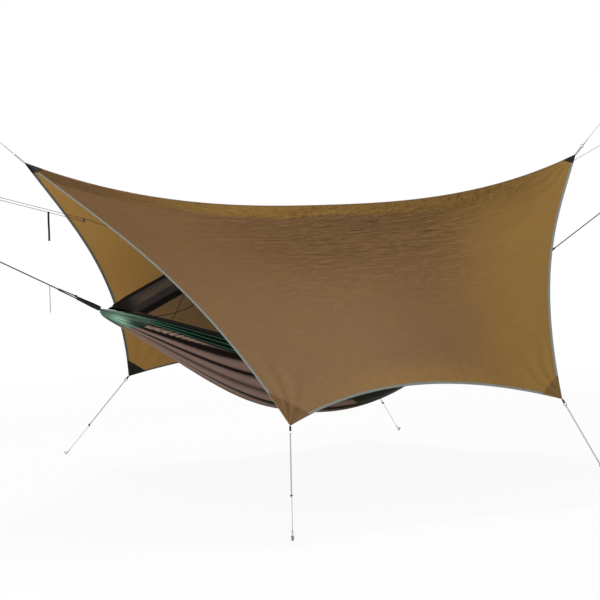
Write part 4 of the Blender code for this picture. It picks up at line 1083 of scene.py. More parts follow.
    def strip_share(self, a: Points, b: Points, across_ridge: bool, width: float) -> Points:
        """The share of the panel that a strip along its edge takes.

        Args:
            a: Shares along the ridge.
            b: Shares down the panel.
            across_ridge: True for a strip on a top or bottom edge.
            width: The strip's width in metres.

        Returns:
            The share at each place.
        """
        step = 0.001
        a, b = np.minimum(a, 1.0 - step), np.minimum(b, 1.0 - step)
        base = self.plain(a, b)
        run_a, run_b = ((self.plain(a + step, b) - base) / step, (self.plain(a, b + step) - base) / step)
        spread = np.linalg.norm(np.cross(run_a, run_b), axis=-1)
        return width * np.linalg.norm(run_a if across_ridge else run_b, axis=-1) / spread

    def make_panel(self, side: Side) -> tuple[Object, Pair, float]:
        """Makes one nylon panel.

        Args:
            side: Which panel.

        Returns:
            The panel, the size that it is cut to and its area.
        """
        def tone(a: Points, b: Points) -> Points:
            """Where the tone colour shows: on the near panel painted light coming through the cloth, on the
            far one a band under the ridge, painted shade on its inside.
            """
            if side is Side.FAR:
                return 0.5 * smooth(0.12 - b, 0.0, 0.12)
            edge = 0.098 + 0.010 * np.sin(21.0 * a) + 0.006 * np.sin(47.0 * a + 1.0)
            gold = smooth(a + 0.14 * smooth(0.40 - b, 0.0, 0.4), 0.62, 0.95)
            return np.maximum.reduce([gold, smooth(edge - b, -0.016, 0.014) * smooth(a, 0.0, 0.3),
                                      smooth(b, 0.90, 1.0) * smooth(a, 0.05, 0.4) * 0.8])

        name = "tarp_panel_" + side.name.lower()
        marks = {
            "tone": tone,
            # Painted shade along the ridge and, on the near panel, over its upper right and along its top
            # left; painted light over the near panel's lower left
            "painted_shade": lambda a, b: (0.5 * smooth(0.006 - b, 0.0, 0.006) + (side is Side.NEAR) * (
                0.34 * smooth(0.4 - b, 0.0, 0.35) * smooth(a, 0.36, 0.75) * smooth(1.0 - a, 0.0, 0.12)
                + 0.34 * smooth(0.100 - b, -0.012, 0.02) * smooth(0.34 - a, 0.0, 0.25))),
            "bloom": lambda a, b: (side is Side.NEAR) * 0.20 * (
                smooth(b, 0.25, 0.95) * smooth(0.85 - a, 0.0, 0.5)),
            "ripple": lambda a, b: 0.18 + 0.82 * self.rippled(a, b),
            "pucker": self.puckered,
        }
        wide, tall, area = extent(self.plain)
        panel = cloth_sheet(name + "_cloth", partial(self.cloth_at, side=side),
                            (self.columns, self.rows), (wide, tall), self.looks.tarp_outer, self.cloth,
                            self.looks.tarp_inner, marks)
        if side is Side.NEAR:
            panel.data.flip_normals()
        place_piece(panel, Body.PITCH, [name])
        return panel, (wide, tall), area

    def make_patch(self, side: Side, end: End) -> Object:
        """Makes the doubled triangle of cloth in a lower corner.

        Args:
            side: The corner's panel.
            end: The corner's end.

        Returns:
            The patch.
        """
        name = f"corner_patch_{side.name.lower()}_{end.name.lower()}"
        look = self.looks.patch_black if side is Side.FAR else (
            self.looks.patch_plain if end is End.LEFT else self.looks.patch_dark)
        long = self.patch_side if side is Side.NEAR and end is End.LEFT else self.small_patch_side

        def surface(reach: Points, turn: Points) -> Points:
            """Points for shares out from the corner and round it."""
            out = long * reach * (1.0 - turn) / (2.0 * self.corner_x)
            up = long * reach * turn / self.drop
            a = out if end is End.LEFT else 1.0 - out
            return self.cloth_at(a, 1.0 - up, side)

        marks = {
            # Painted shade in stripes across the patch, growing away from the corner
            "painted_shade": lambda reach, turn: 0.22 * reach * (0.5 + 0.5 * np.sin(30.0 * turn + 5.0 * reach)) ** 3,
            "tone": lambda reach, turn: 0.45 + 0.2 * np.sin(17.0 * turn + 1.0),
            "ripple": lambda reach, turn: 0.5,
        }
        patch = cloth_sheet(name + "_cloth", surface, (60, 64), (long, long), look, self.patch_thick,
                            marks=marks)
        return place_piece(patch, Body.PITCH, [name])

    def make_ridge_patch(self, end: End) -> Object:
        """Makes the doubled cloth folded over an end of the ridge.

        Args:
            end: Which end.

        Returns:
            The patch.
        """
        name = "ridge_patch_" + end.name.lower()

        def surface(reach: Points, turn: Points) -> Points:
            """Points for shares out from the tip and round it."""
            down = np.abs(2.0 * turn - 1.0)
            out = self.ridge_patch_side * reach * (1.0 - down) / (2.0 * self.ridge_half)
            a = out if end is End.LEFT else 1.0 - out
            b = self.ridge_patch_side * reach * down / self.drop
            near, far = self.cloth_at(a, b, Side.NEAR), self.cloth_at(a, b, Side.FAR)
            return np.where((turn < 0.5)[..., None], near, far)

        # Painted shade in stripes round the patch
        marks = {"painted_shade": lambda reach, turn: 0.5 * (0.5 + 0.5 * np.sin(34.0 * turn)) ** 3,
                 "tone": lambda reach, turn: 0.5, "ripple": lambda reach, turn: 0.5}
        patch = cloth_sheet(name + "_cloth", surface, (60, 100),
                            (self.ridge_patch_side, 2.0 * self.ridge_patch_side), self.looks.patch_black,
                            self.patch_thick, marks=marks)
        return place_piece(patch, Body.PITCH, [name])

    def make_seam(self) -> Object:
        """Makes the felled seam along the ridge.

        Returns:
            The seam.
        """
        def surface(a: Points, t: Points) -> Points:
            """Points for shares along the seam and across it."""
            a = 0.006 + 0.988 * a
            b = np.abs(2.0 * t - 1.0) * self.strip_share(a, 0.0 * a, True, self.seam_half)
            crown = 0.5 * MM * (1.0 - np.abs(2.0 * t - 1.0) ** 4)
            near, far = self.cloth_at(a, b, Side.NEAR, crown), self.cloth_at(a, b, Side.FAR, crown)
            return np.where((t < 0.5)[..., None], near, far)

        seam = cloth_sheet("tarp_ridge_seam_tape", surface, (220, 6),
                           (self.seam_length, 2.0 * self.seam_half), self.looks.seam, self.seam_thick)
        return place_piece(seam, Body.PITCH, ["tarp_ridge_seam"])

    def make_binding(self, side: Side) -> Object:
        """Makes the grey tape folded round a panel's sides and bottom.

        Args:
            side: Which panel.

        Returns:
            The tape.
        """
        width = self.binding_width
        corner_a = float(self.strip_share(np.zeros(1), np.ones(1), False, width)[0])
        corner_b = float(self.strip_share(np.zeros(1), np.ones(1), True, width)[0])
        down = np.concatenate([np.linspace(0.0015, 1.0 - corner_b, 90), [1.0]])
        over = np.linspace(corner_a, 1.0 - corner_a, 120)
        inner_side = self.strip_share(0.0 * down, np.minimum(down, 1.0 - corner_b), False, width)
        inner_side = inner_side * smooth(down, -0.002, 0.008)
        outer = [(0.0, b) for b in down] + [(a, 1.0) for a in over[1:-1]] + [(1.0, b) for b in down[::-1]]
        inner = [(i, min(b, 1.0 - corner_b)) for i, b in zip(inner_side, down)]
        inner += [(a, 1.0 - float(self.strip_share(np.array([a]), np.ones(1), True, width)[0]))
                  for a in over[1:-1]]
        inner += [(1.0 - i, min(b, 1.0 - corner_b)) for i, b in zip(inner_side[::-1], down[::-1])]
        outer, inner = np.array(outer), np.array(inner)
        run = np.linspace(0.0, 1.0, len(outer))

        def surface(along: Points, across: Points) -> Points:
            """Points for shares round the panel and across the tape."""
            face = 2.0 * across - 1.0
            depth = np.clip(np.abs(face) * 1.12 - 0.12, 0.0, 1.0)
            off = np.sign(face) * self.binding_half * np.clip(np.abs(face) / 0.10, 0.0, 1.0) ** 0.5
            a, b = [np.interp(along, run, outer[:, k]) * (1.0 - depth)
                    + np.interp(along, run, inner[:, k]) * depth for k in (0, 1)]
            return self.cloth_at(a, b, side, off)

        name = "edge_binding_" + side.name.lower()
        # The far panel's binding is in shade, so it gets the tape darkened by painted shade
        look = self.looks.binding if side is Side.NEAR else self.looks.binding_shaded
        tape = cloth_sheet(name + "_tape", surface, (len(outer) - 1, 20), (self.binding_length, 2.0 * width),
                           look)
        return place_piece(tape, Body.PITCH, [name])

    def build(self) -> None:
        """Makes the whole tarp and says which sheets it is cut from."""
        seam = self.make_seam()
        ridge_patches = [self.make_ridge_patch(end) for end in End]
        for side in Side:
            panel, (wide, tall), area = self.make_panel(side)
            pieces = [self.make_binding(side)] + [self.make_patch(side, end) for end in End]
            pieces += [seam, *ridge_patches] if side is Side.NEAR else []
            LOG.info("%s is cut from %.2f x %.2f m, %.2f square metres", panel.name, wide, tall, area)


# Lines and what they pass through


@dataclass(frozen=True)
class Cordage:
    """A size of cord, with the girth that its knots take."""

    radius: float

    @property
    def knot_half(self) -> float:
        """Half the length of a knot."""
        return self.radius * 2.8


GUY_LINE = Cordage(1.25 * MM)
NET_LINE = Cordage(1.2 * MM)
ROPE = Cordage(3.0 * MM)
TAIL = Cordage(1.8 * MM)


def eye(knot: Vector, tip: Vector, normal: Vector, bar: float, cord: Cordage) -> list[Vector]:
    """A cord's loop from a knot round a bar and back.

    Args:
        knot: Where both legs meet.
        tip: The bar's middle.
        normal: The way along the bar.
        bar: The bar's radius.
        cord: The cord.

    Returns:
        The loop's points.
    """
    ahead = (tip - knot).normalized()
    side = normal.cross(ahead).normalized()
    bend = bar + cord.radius + GAP
    start = cord.radius * 1.2
    turn = arc(tip, side, ahead, bend)
    out, back = line_points(knot + side * start, turn[0]), line_points(turn[-1], knot - side * start)
    return out[:-1] + turn + back[1:]


def bight(start: Vector, turn: Vector, stop: Vector, across: Vector, spacing: float) -> list[Vector]:
    """A doubled cord.

    Args:
        start: Where one leg starts.
        turn: Where it turns back.
        stop: Where the other leg ends.
        across: The way from leg to leg.
        spacing: How far apart the legs are.

    Returns:
        Its points.
    """
    ahead = (turn - start).normalized()
    half = across * (spacing / 2.0)
    centre = turn - ahead * (spacing / 2.0)
    over = arc(centre, across, ahead, spacing / 2.0)
    up, down = line_points(start + half, centre + half), line_points(centre - half, stop - half)
    return up[:-1] + over + down[1:]


@dataclass
class Lines:
    """Ridge cords, guy lines and the net's cords, with their webbing loops and knots."""

    looks: Looks
    ring_radius: float = 8.5 * MM
    ring_wire: float = 1.5 * MM
    webbing_thick: float = 1.2 * MM
    webbing_width: float = 8 * MM
    cord_play: float = 0.5 * MM
    guy_spacing: float = 7.5 * MM
    net_spacing: float = 12 * MM
    adjuster_place: float = 0.64
    adjuster_thick: float = 5 * MM
    ridge_eye: float = 45 * MM
    tree_eye: float = 70 * MM
    tree_bar: float = 8 * MM
    peg_eye: float = 40 * MM
    peg_radius: float = 3 * MM
    net_eye: float = 45 * MM
    net_merge: float = 35 * MM
    net_bend: float = 2.4 * MM
    net_adjuster_at: float = -1.334     # from the middle between the ridge's ends, as the strap's place
    strap_at: float = -1.511
    ridge_loop: Pair = (-2.6 * MM, 60 * MM)      # how far past the tip it starts, and its length
    corner_loop: Pair = (0.9 * MM, 20 * MM)

    def knot(self, name: str, centre: Vector, ahead: Vector, cord: Cordage, look: Material,
             body: Body) -> Object:
        """Makes a barrel knot: turns of the cord wound round itself.

        Args:
            name: The knot's name.
            centre: Its middle.
            ahead: The way the cord runs.
            cord: The cord.
            look: Its material.
            body: What it rides on.

        Returns:
            The knot.
        """
        side = ahead.cross(Vector((0.3, 1.0, 0.1))).normalized()
        up = ahead.cross(side)
        turns, steps = 3.0, 14
        path = []
        for index in range(int(turns * steps) + 1):
            share = index / (turns * steps)
            angle = math.tau * turns * share
            swell = cord.radius * (0.85 + 0.35 * math.sin(math.pi * share))
            path.append(centre + ahead * ((share - 0.5) * 3.8 * cord.radius)
                        + (side * math.cos(angle) + up * math.sin(angle)) * swell)
        points = rows_of(path)
        made = swept(name, points, frames_along(points, ahead), circle(cord.radius * 0.86, 10), look)
        return place_piece(made, body)

    def lay(self, name: str, route: Sequence[Vector], cord: Cordage, look: Material, body: Body,
            knots: Sequence[tuple[Vector, Vector]], replaced: Sequence[str] = (), slot: str = "guy_cord",
            far_end: str = "knot", lie: str = "taut") -> None:
        """Makes one cord with its knots.

        Args:
            name: The cord's name.
            route: The points that it follows.
            cord: Its size.
            look: Its material.
            body: What it rides on.
            knots: Each knot's middle and the way the cord runs there.
            replaced: The solids that it stands for.
            slot: Not used.
            far_end: Not used.
            lie: Not used.
        """
        path = [route[0]]
        for point in route[1:]:
            if (point - path[-1]).length > 0.2 * MM:
                path.append(point)
        points = rows_of(path)
        way = Vector((0.2, 0.9, 0.4))
        made = swept(name, points, frames_along(points, way), circle(cord.radius, 12), look)
        place_piece(made, body, replaced)
        tied = [self.knot(f"{name}_knot_{index + 1}", centre, ahead, cord, look, body)
                for index, (centre, ahead) in enumerate(knots)]

    def webbing_loop(self, name: str, tip: Vector, ahead: Vector, loop: Pair) -> tuple[Vector, Vector]:
        """Makes a sewn loop of webbing between a corner and its ring.

        Args:
            name: The loop's name.
            tip: The tarp's corner.
            ahead: The way the cord pulls.
            loop: How far past the corner it starts, and its length.

        Returns:
            The ring's outer point, and the way across the doubled cord.
        """
        side = ahead.cross(ACROSS).normalized()
        across = ahead.cross(side).normalized()
        bend = self.ring_wire + self.cord_play + self.webbing_thick / 2.0
        seat, length = loop
        near = tip + ahead * (seat + length)
        low = near - ahead * (length - bend - self.webbing_thick / 2.0)
        path = arc(near, across, ahead, bend, 180.0) + arc(low, -across, -ahead, bend, 180.0)
        path.append(path[0])
        points = rows_of(path)
        way = np.tile(np.array(ahead.cross(across)), (len(points), 1))
        look = self.looks.light_webbing if name.startswith("ridge") else self.looks.webbing
        made = swept("tie_loop_" + name + "_webbing", points, way,
                     flat_band(self.webbing_width, self.webbing_thick), look, closed=True)
        place_piece(made, Body.PITCH, ["tie_loop_" + name])
        lay = self.ring_radius - math.sqrt(self.ring_radius ** 2 - (self.webbing_width / 2.0) ** 2)
        return near + ahead * (2.0 * self.ring_radius - lay), across

    def ridge_cord(self, end: End, tarp: Tarp, tree: Vector) -> None:
        """Makes the cord from an end of the ridge to its tree.

        Args:
            end: Which end.
            tarp: The tarp.
            tree: Where the cord meets the tree.
        """
        tip = vec(tarp.ridge(np.array(0.0 if end is End.LEFT else 1.0)) + ORIGIN)
        ahead = (tree - tip).normalized()
        name = end.name.lower()
        ring_end, across = self.webbing_loop("ridge_" + name, tip, ahead, self.ridge_loop)
        first, last = ring_end + ahead * self.ridge_eye, tree - ahead * self.tree_eye
        knot_in = ahead * (GUY_LINE.knot_half * 0.5)
        route = eye(first - knot_in, ring_end, ahead.cross(across), self.ring_wire, GUY_LINE)
        route += line_points(first + knot_in, last - knot_in)
        route += eye(last + knot_in, tree, ACROSS, self.tree_bar, GUY_LINE)
        self.lay(f"ridge_cord_{name}_line", route, GUY_LINE, self.looks.guy, Body.PITCH,
                 [(first, ahead), (last, ahead)], ["ridge_cord_" + name])

    def guy_line(self, side: Side, end: End, tarp: Tarp, reach: Pair) -> None:
        """Makes a guy line from its corner through its adjuster and round its peg.

        Args:
            side: The corner's panel.
            end: The corner's end.
            tarp: The tarp.
            reach: How far the peg stands out from the corner along X and Y.
        """
        corner = f"{side.name.lower()}_{end.name.lower()}"
        tip = Vector((end.value * tarp.corner_x, side.value * tarp.corner_y, -tarp.corner_drop)) + vec(ORIGIN)
        foot = Vector((tip.x + end.value * reach[0], tip.y + side.value * reach[1], GROUND))
        pull = (foot - tip).normalized()
        ring_end, across = self.webbing_loop(corner, tip, pull, self.corner_loop)
        half = across * (self.guy_spacing / 2.0)
        knot_in = GUY_LINE.knot_half * 0.5
        turn = ring_end - pull * (self.ring_wire + GAP + GUY_LINE.radius)
        peg_axis = foot + half - pull * self.peg_radius
        low_knot = peg_axis - pull * self.peg_eye
        start = low_knot - half - pull * knot_in
        stop = turn.lerp(start, self.adjuster_place)
        stopper = stop - half + pull * (self.adjuster_thick / 2.0 + GAP + GUY_LINE.knot_half)
        up = pull.cross(Vector((0.0, 0.0, 1.0))).cross(pull).normalized()
        route = bight(start, turn, stopper + half, across, self.guy_spacing)[::-1]
        route += eye(low_knot + pull * knot_in, peg_axis, up, self.peg_radius, GUY_LINE)
        self.lay(f"guy_cord_{corner}_line", route, GUY_LINE, self.looks.guy, Body.PITCH,
                 [(low_knot, pull), (stopper, pull)], ["guy_cord_" + corner])

    def net_cord_left(self, peak: Vector, tree: Vector) -> None:
        """Makes the net's left cord, doubled from its adjuster, and the strap that hangs on it.

        Args:
            peak: The net's left peak.
            tree: Where the cord meets the tree.
        """
        pull = (tree - peak).normalized()
        across = ACROSS.cross(pull).normalized()
        half = across * (self.net_spacing / 2.0)
        knot_in = pull * (NET_LINE.knot_half * 0.5)
        peak_knot = peak + pull * self.net_eye
        share = (self.net_adjuster_at + ORIGIN[0] - peak.x) / (tree.x - peak.x)
        stop = peak.lerp(tree, share)
        merge = stop - pull * self.net_merge
        stopper = stop - half - pull * (self.adjuster_thick / 2.0 + GAP + NET_LINE.knot_half)
        route = eye(peak_knot - knot_in, peak, pull.cross(ACROSS), self.net_bend, NET_LINE)
        route += line_points(peak_knot + knot_in, merge - pull * self.net_merge)
        route += bight(merge, tree, stopper + half, across, self.net_spacing)
        self.lay("net_cord_left_line", route, NET_LINE, self.looks.net_cord, Body.PITCH,
                 [(peak_knot, pull), (stopper, pull)], ["net_cord_left"], "net_cord")
        self.pull_strap(stop, tree, half)

    def net_cord_right(self, peak: Vector, tree: Vector) -> None:
        """Makes the net's right cord.

        Args:
            peak: The net's right peak.
            tree: Where the cord meets the tree.
        """
        pull = (tree - peak).normalized()
        knot_in = pull * (NET_LINE.knot_half * 0.5)
        first, last = peak + pull * self.net_eye, tree - pull * self.tree_eye
        route = eye(first - knot_in, peak, pull.cross(ACROSS), self.net_bend, NET_LINE)
        route += line_points(first + knot_in, last - knot_in)
        route += eye(last + knot_in, tree, ACROSS, self.tree_bar, NET_LINE)
        self.lay("net_cord_right_line", route, NET_LINE, self.looks.net_cord, Body.PITCH,
                 [(first, pull), (last, pull)], ["net_cord_right"], "net_cord")

    def pull_strap(self, stop: Vector, tree: Vector, half: Vector) -> None:
        """Makes the strap that hangs by a sewn loop from the net cord's lower run.

        Args:
            stop: The middle of the cord at its adjuster.
            tree: Where the cord meets the tree.
            half: The way from the cord's middle to one run.
        """
        share = (self.strap_at + ORIGIN[0] - stop.x) / (tree.x - stop.x)
        top = stop.lerp(tree, share) + (-half if half.z > 0 else half)
        long, wide, thick = 140 * MM, 10 * MM, 1.5 * MM
        bend = NET_LINE.radius + self.cord_play + thick / 2.0
        down = Vector((0.0, 0.0, -1.0))
        loop = arc(top, -ACROSS, -down, bend, 230.0, 16)
        tail, steps = [], 28
        for index in range(1, steps + 1):
            share = index / steps
            sway = 1.2 * MM * math.sin(math.pi * share) * math.sin(7.0 * share)
            start = -bend * (1.0 - smooth(np.array(share), 0.0, 0.12))
            tail.append(top + down * (bend + (long - bend) * share) + ACROSS * (float(start) * 0.6 + sway))
        route = loop[::-1][4:] + tail
        points = rows_of(route)
        way = np.tile(np.array((1.0, 0.0, 0.0)), (len(points), 1))
        strap = swept("net_pull_strap_webbing", points, way, flat_band(wide, thick), self.looks.webbing)
        place_piece(strap, Body.PITCH, ["net_pull_strap"])

    def build(self, tarp: Tarp, peaks: Sequence[Sequence[float]]) -> None:
        """Makes the ridge cords, the guy lines and the net's cords.

        Args:
            tarp: The tarp.
            peaks: The net's two peaks, from the middle between the ridge's ends.
        """
        origin = vec(ORIGIN)
        for end in End:
            self.ridge_cord(end, tarp, origin + Vector(RIDGE_TREES[end]))
        for (side, end), reach in PEG_REACHES.items():
            self.guy_line(side, end, tarp, reach)
        left, right = (vec(peak) + origin for peak in peaks)
        self.net_cord_left(left, origin + Vector(NET_TREES[End.LEFT]))
        self.net_cord_right(right, origin + Vector(NET_TREES[End.RIGHT]))


# Bed


@dataclass
class Bed:
    """The gathered nylon bed with its green rims, its sleeves and its ropes."""

    looks: Looks
    left: Place = (-1.265, 0.0, -0.730)
    right: Place = (1.270, 0.0, -0.655)
    chord_length: float = 2.536
    tree_left: Place = (0.0, 0.0, 0.0)         # in the frame
    tree_right: Place = (3.819, 0.0, 0.174)
    rim_out: float = 0.290
    rim_sag: float = 0.278
    rim_lift: float = 0.0405
    lift_share: float = 0.36
    depth: float = 0.256
    depth_power: float = 1.41
    end_depth: float = 0.119
    end_power: float = 0.34
    end_half: float = 9 * MM
    end_bulge: float = 30 * MM
    cloth: float = 0.8 * MM
    pleat_width: float = 0.175
    pleat_depth: float = 11 * MM
    end_room: float = 4 * MM
    end_pleat_rise: float = 0.9 * MM
    ruffle_rise: float = 5.0 * MM
    band_rise: float = 3.0 * MM
    band: float = 1.0 / 6.0
    foot_start: float = 0.607
    foot_slant: float = 0.226
    sleeve_length: float = 130 * MM
    sleeve_girth: float = 66 * MM
    whip: float = 2.4 * MM
    whip_rise: float = 0.35 * MM
    rope_split: float = 100 * MM
    tail_from_split: float = 55 * MM
    tail_length: float = 135 * MM

    def chord(self, u: Points) -> Points:
        """The straight line between the bed's two ends."""
        return np.array(self.left) + (np.array(self.right) - np.array(self.left)) * np.asarray(u)[..., None]

    def arc_sizes(self) -> tuple[float, float, float]:
        """Measures a rim's arc.

        Returns:
            Its radius, half its chord and its rise.
        """
        half = float(np.linalg.norm(np.array(self.right) - np.array(self.left))) / 2.0
        rise = math.hypot(self.rim_out, self.rim_sag)
        return (half * half + rise * rise) / (2.0 * rise), half, rise

    def rim_share(self, u: Points) -> Points:
        """How far the rim has left the chord.

        Args:
            u: Shares along the bed.

        Returns:
            Shares of its most.
        """
        radius, half, rise = self.arc_sizes()
        x = (2.0 * np.asarray(u) - 1.0) * half
        return (np.sqrt(radius * radius - x * x) - (radius - rise)) / rise

    def rim(self, u: Points, side: Side) -> Points:
        """A rim's line.

        Args:
            u: Shares along the bed.
            side: Which rim.

        Returns:
            Its points, from the middle between the ridge's ends.
        """
        ahead = unit(np.array(self.right) - np.array(self.left))
        out = np.array((0.0, side.value * self.rim_out, -self.rim_sag))
        out = unit(out - ahead * out.dot(ahead))
        part = np.clip(from_end(u) / self.lift_share, 0.0, 1.0)
        root = self.chord(u)
        root[..., 1] += side.value * self.end_half
        root[..., 2] += self.rim_lift * 6.75 * part * (1.0 - part) ** 2
        return root + out * (self.arc_sizes()[2] * self.rim_share(u))[..., None]

    def pleat(self, u: Points, v: Points) -> tuple[Points, Points]:
        """The pleats that run from end to end.

        Args:
            u: Shares along the bed.
            v: Shares across it, from -1 at the near rim to 1 at the far one.

        Returns:
            How far they stand out, as a share of their depth, and how deep in a crease each point is.
        """
        spread = self.pleat_width * (0.75 + 1.5 * np.clip(from_end(u), 0.0, 0.3))
        phase = v / spread + 0.10 * np.sin(4.3 * u + 5.0 * v) + 0.05 * np.sin(13.0 * u - 8.0 * v + 1.0)
        nearest = np.round(phase)
        off = phase - nearest
        strength = 0.8 + 0.2 * np.sin(7.7 * nearest + 5.0 * u)
        strength = strength * smooth(1.0 - self.band - np.abs(v), -0.01, 0.03)
        wide = 0.31 + 0.08 * np.sin(3.1 * nearest + 9.0 * u)
        crease = np.exp(-((off + 0.3 * wide) / wide) ** 2) * strength
        return 0.45 * np.cos(math.tau * (np.abs(off) - 0.5) * 0.8) - 0.9 * crease, crease

    def band_lines(self, u: Points, v: Points) -> tuple[Points, Points]:
        """The lengthwise folds of a rim's band.

        Args:
            u: Shares along the bed.
            v: Shares across it.

        Returns:
            How far they stand out, in metres, and how deep in a fold each point is.
        """
        inside = np.clip((np.abs(v) - 1.0 + self.band) / self.band, 0.0, 1.0)
        phase = 3.0 * inside + 0.12 * np.sin(9.0 * u)
        here = smooth(inside, 0.02, 0.12) * smooth(from_end(u), 0.02, 0.12)
        off = phase - np.round(phase)
        return self.band_rise * here * np.cos(math.tau * (off - 0.5)), here * np.exp(-(off / 0.26) ** 2)

    def ruffle(self, u: Points, v: Points) -> Points:
        """Small puckers where the mauve cloth is sewn to a rim's band near the ends.

        Args:
            u: Shares along the bed.
            v: Shares across it.

        Returns:
            Heights from -1 to 1.
        """
        far = from_end(u)
        below = 1.0 - self.band - np.abs(v)
        reach = np.exp(-np.clip(below, 0.0, 1.0) / 0.11) * (below > 0.0) * np.clip(below / 0.015, 0.0, 1.0)
        where = smooth(far, 0.06, 0.085) * smooth(0.22 - far, 0.0, 0.08)
        wave = np.sin(math.tau * far * self.chord_length / 0.033 + 3.0 * np.sin(41.0 * far) + 46.0 * below
                      + 3.0 * np.sin(31.0 * v))
        return reach * where * wave * (0.72 + 0.28 * np.sin(97.0 * far + 30.0 * below))

    def point(self, u: Points, v: Points) -> Points:
        """The bed's surface.

        Args:
            u: Shares along the bed.
            v: Shares across it.

        Returns:
            Its points in the frame.
        """
        share = self.rim_share(u)
        rim = self.rim(u, Side.FAR)
        swell = np.clip(np.sin(math.pi * u), 0.0, 1.0)
        start = swell ** self.end_power
        deep = self.end_room + self.depth * swell ** self.depth_power + self.end_depth * start
        bulge = self.end_bulge * start * (1.0 - share) ** 2
        angle = v * math.pi / 2.0
        rest = np.clip(np.cos(angle), 0.0, 1.0)
        stand, _ = self.pleat(u, v)
        lines, _ = self.band_lines(u, v)
        fold = self.pleat_depth * start * (1.0 - 0.45 * share) * rest ** 0.5 * stand
        fold = fold + (self.ruffle_rise * self.ruffle(u, v) + lines) * start
        fine = self.end_pleat_rise * start * np.sin(math.tau * 9.0 * v + 2.0)
        fine = fine * smooth(0.22 - from_end(u), 0.0, 0.2)
        fold = fold + fine * rest ** 0.5
        out = (rim[..., 1] + fold) * np.sin(angle) + bulge * np.sin(2.0 * angle)
        return np.stack([rim[..., 0], out, rim[..., 2] - (deep + fold) * rest], axis=-1) + ORIGIN

    def crease_shade(self, u: Points, v: Points) -> Points:
        """How much painted shade falls in the creases and folds, in the ruffles' hollows and along the bands'
        seams.

        Args:
            u: Shares along the bed.
            v: Shares across it.

        Returns:
            Shares from 0 to 1.
        """
        _, crease = self.pleat(u, v)
        _, line = self.band_lines(u, v)
        ruffled = np.clip(-self.ruffle(u, v), 0.0, 1.0)
        # Painted shadow under each band's lower edge, along its seam
        seam = np.exp(-((np.abs(v) - 1.0 + self.band) / 0.013) ** 2)
        open_end = 0.35 + 0.65 * smooth(from_end(u), 0.03, 0.10)
        return np.clip((2.0 * crease ** 2.0 + 1.1 * line) * open_end + 1.2 * ruffled + 0.9 * seam, 0.0, 1.0)

    def piece(self, name: str, u_of: Surface, v_range: Pair, cells: tuple[int, int],
              look: Material, tone: Surface | None = None) -> None:
        """Makes one cut piece of the bed.

        Args:
            name: The piece, as its solid is named.
            u_of: Takes shares along the piece and v, and returns u.
            v_range: Its two edges across the bed.
            cells: Cells each way.
            look: Its material.
            tone: Where its second colour shows, for shares along and across the bed.
        """
        def place(s: Points, t: Points) -> tuple[Points, Points]:
            """The bed's shares for the piece's own."""
            v = v_range[0] + (v_range[1] - v_range[0]) * t
            return u_of(s, v), v

        def surface(s: Points, t: Points) -> Points:
            """Points for shares along the piece and across it."""
            return self.point(*place(s, t))

        wide, tall, area = extent(surface, 120)
        # Painted shade in the creases; the tone colour shows where tone puts it
        marks = {"painted_shade": lambda s, t: self.crease_shade(*place(s, t)),
                 "tone": lambda s, t: tone(*place(s, t)) if tone else 0.5 + 0.3 * np.sin(9.0 * t + 4.0 * s),
                 "ripple": lambda s, t: 0.5}
        made = cloth_sheet(name + "_cloth", surface, cells, (wide, tall), look, self.cloth, marks=marks)
        made.data.flip_normals()
        place_piece(made, Body.HAMMOCK, [name])
        LOG.info("%s is cut from %.2f x %.2f m, %.2f square metres", name, wide, tall, area)

    def make_cloth(self) -> None:
        """Makes the gathers, the rims' bands, the centre and the foot."""
        low = 1.0 - self.band

        def first(v: Points) -> Points:
            """Where the left gather ends."""
            return 0.025 + 0.075 * np.abs(v)

        def last(v: Points) -> Points:
            """Where the right gather starts."""
            return 1.0 - first(v)

        def seam(v: Points) -> Points:
            """Where the foot starts."""
            return self.foot_start + self.foot_slant * v

        def gather_highlight(u: Points, v: Points) -> Points:
            """Where painted highlight makes the gathers shine, in streaks and in a spot near each end."""
            streak = np.sin(31.0 * v + 20.0 * u) * 0.3 + np.sin(12.0 * v + 1.0) * 0.3
            shine = np.exp(-((from_end(u) - 0.032) / 0.016) ** 2 - ((np.abs(v) - 0.62) / 0.2) ** 2)
            return np.clip(0.24 + 0.35 * streak + 0.9 * shine, 0.0, 1.0)

        def lined(u: Points, v: Points) -> Points:
            """Where painted highlight shows on the bands' folds and near their ends."""
            raised, _ = self.band_lines(u, v)
            end = np.exp(-(from_end(u) - 0.1) / 0.035)
            return np.clip(0.42 * (raised / self.band_rise) ** 3 + 0.3 * end, 0.0, 1.0)

        def paler_and_highlit(u: Points, v: Points) -> Points:
            """Where the mauve cloth is paler: a slow wave across it, and painted highlight on the ruffles'
            crests.
            """
            return 0.30 + 0.15 * np.sin(9.0 * u + 6.0 * v) + 0.6 * np.clip(self.ruffle(u, v), 0.0, 1.0)

        self.piece("bed_gather_left", lambda s, v: first(v) * s, (-1.0, 1.0), (40, 300), self.looks.bed_green,
                   gather_highlight)
        self.piece("bed_gather_right", lambda s, v: last(v) + first(v) * s, (-1.0, 1.0), (40, 300),
                   self.looks.bed_green, gather_highlight)
        for name, edges in (("bed_band_near", (-1.0, -low)), ("bed_band_far", (low, 1.0))):
            self.piece(name, lambda s, v: first(v) + (last(v) - first(v)) * s, edges, (360, 36),
                       self.looks.bed_rim, lined)
        self.piece("bed_centre_panel", lambda s, v: first(v) + (seam(v) - first(v)) * s, (-low, low),
                   (300, 300), self.looks.bed_mauve, paler_and_highlit)
        self.piece("bed_foot_panel", lambda s, v: seam(v) + (last(v) - seam(v)) * s, (-low, low), (200, 300),
                   self.looks.bed_foot)

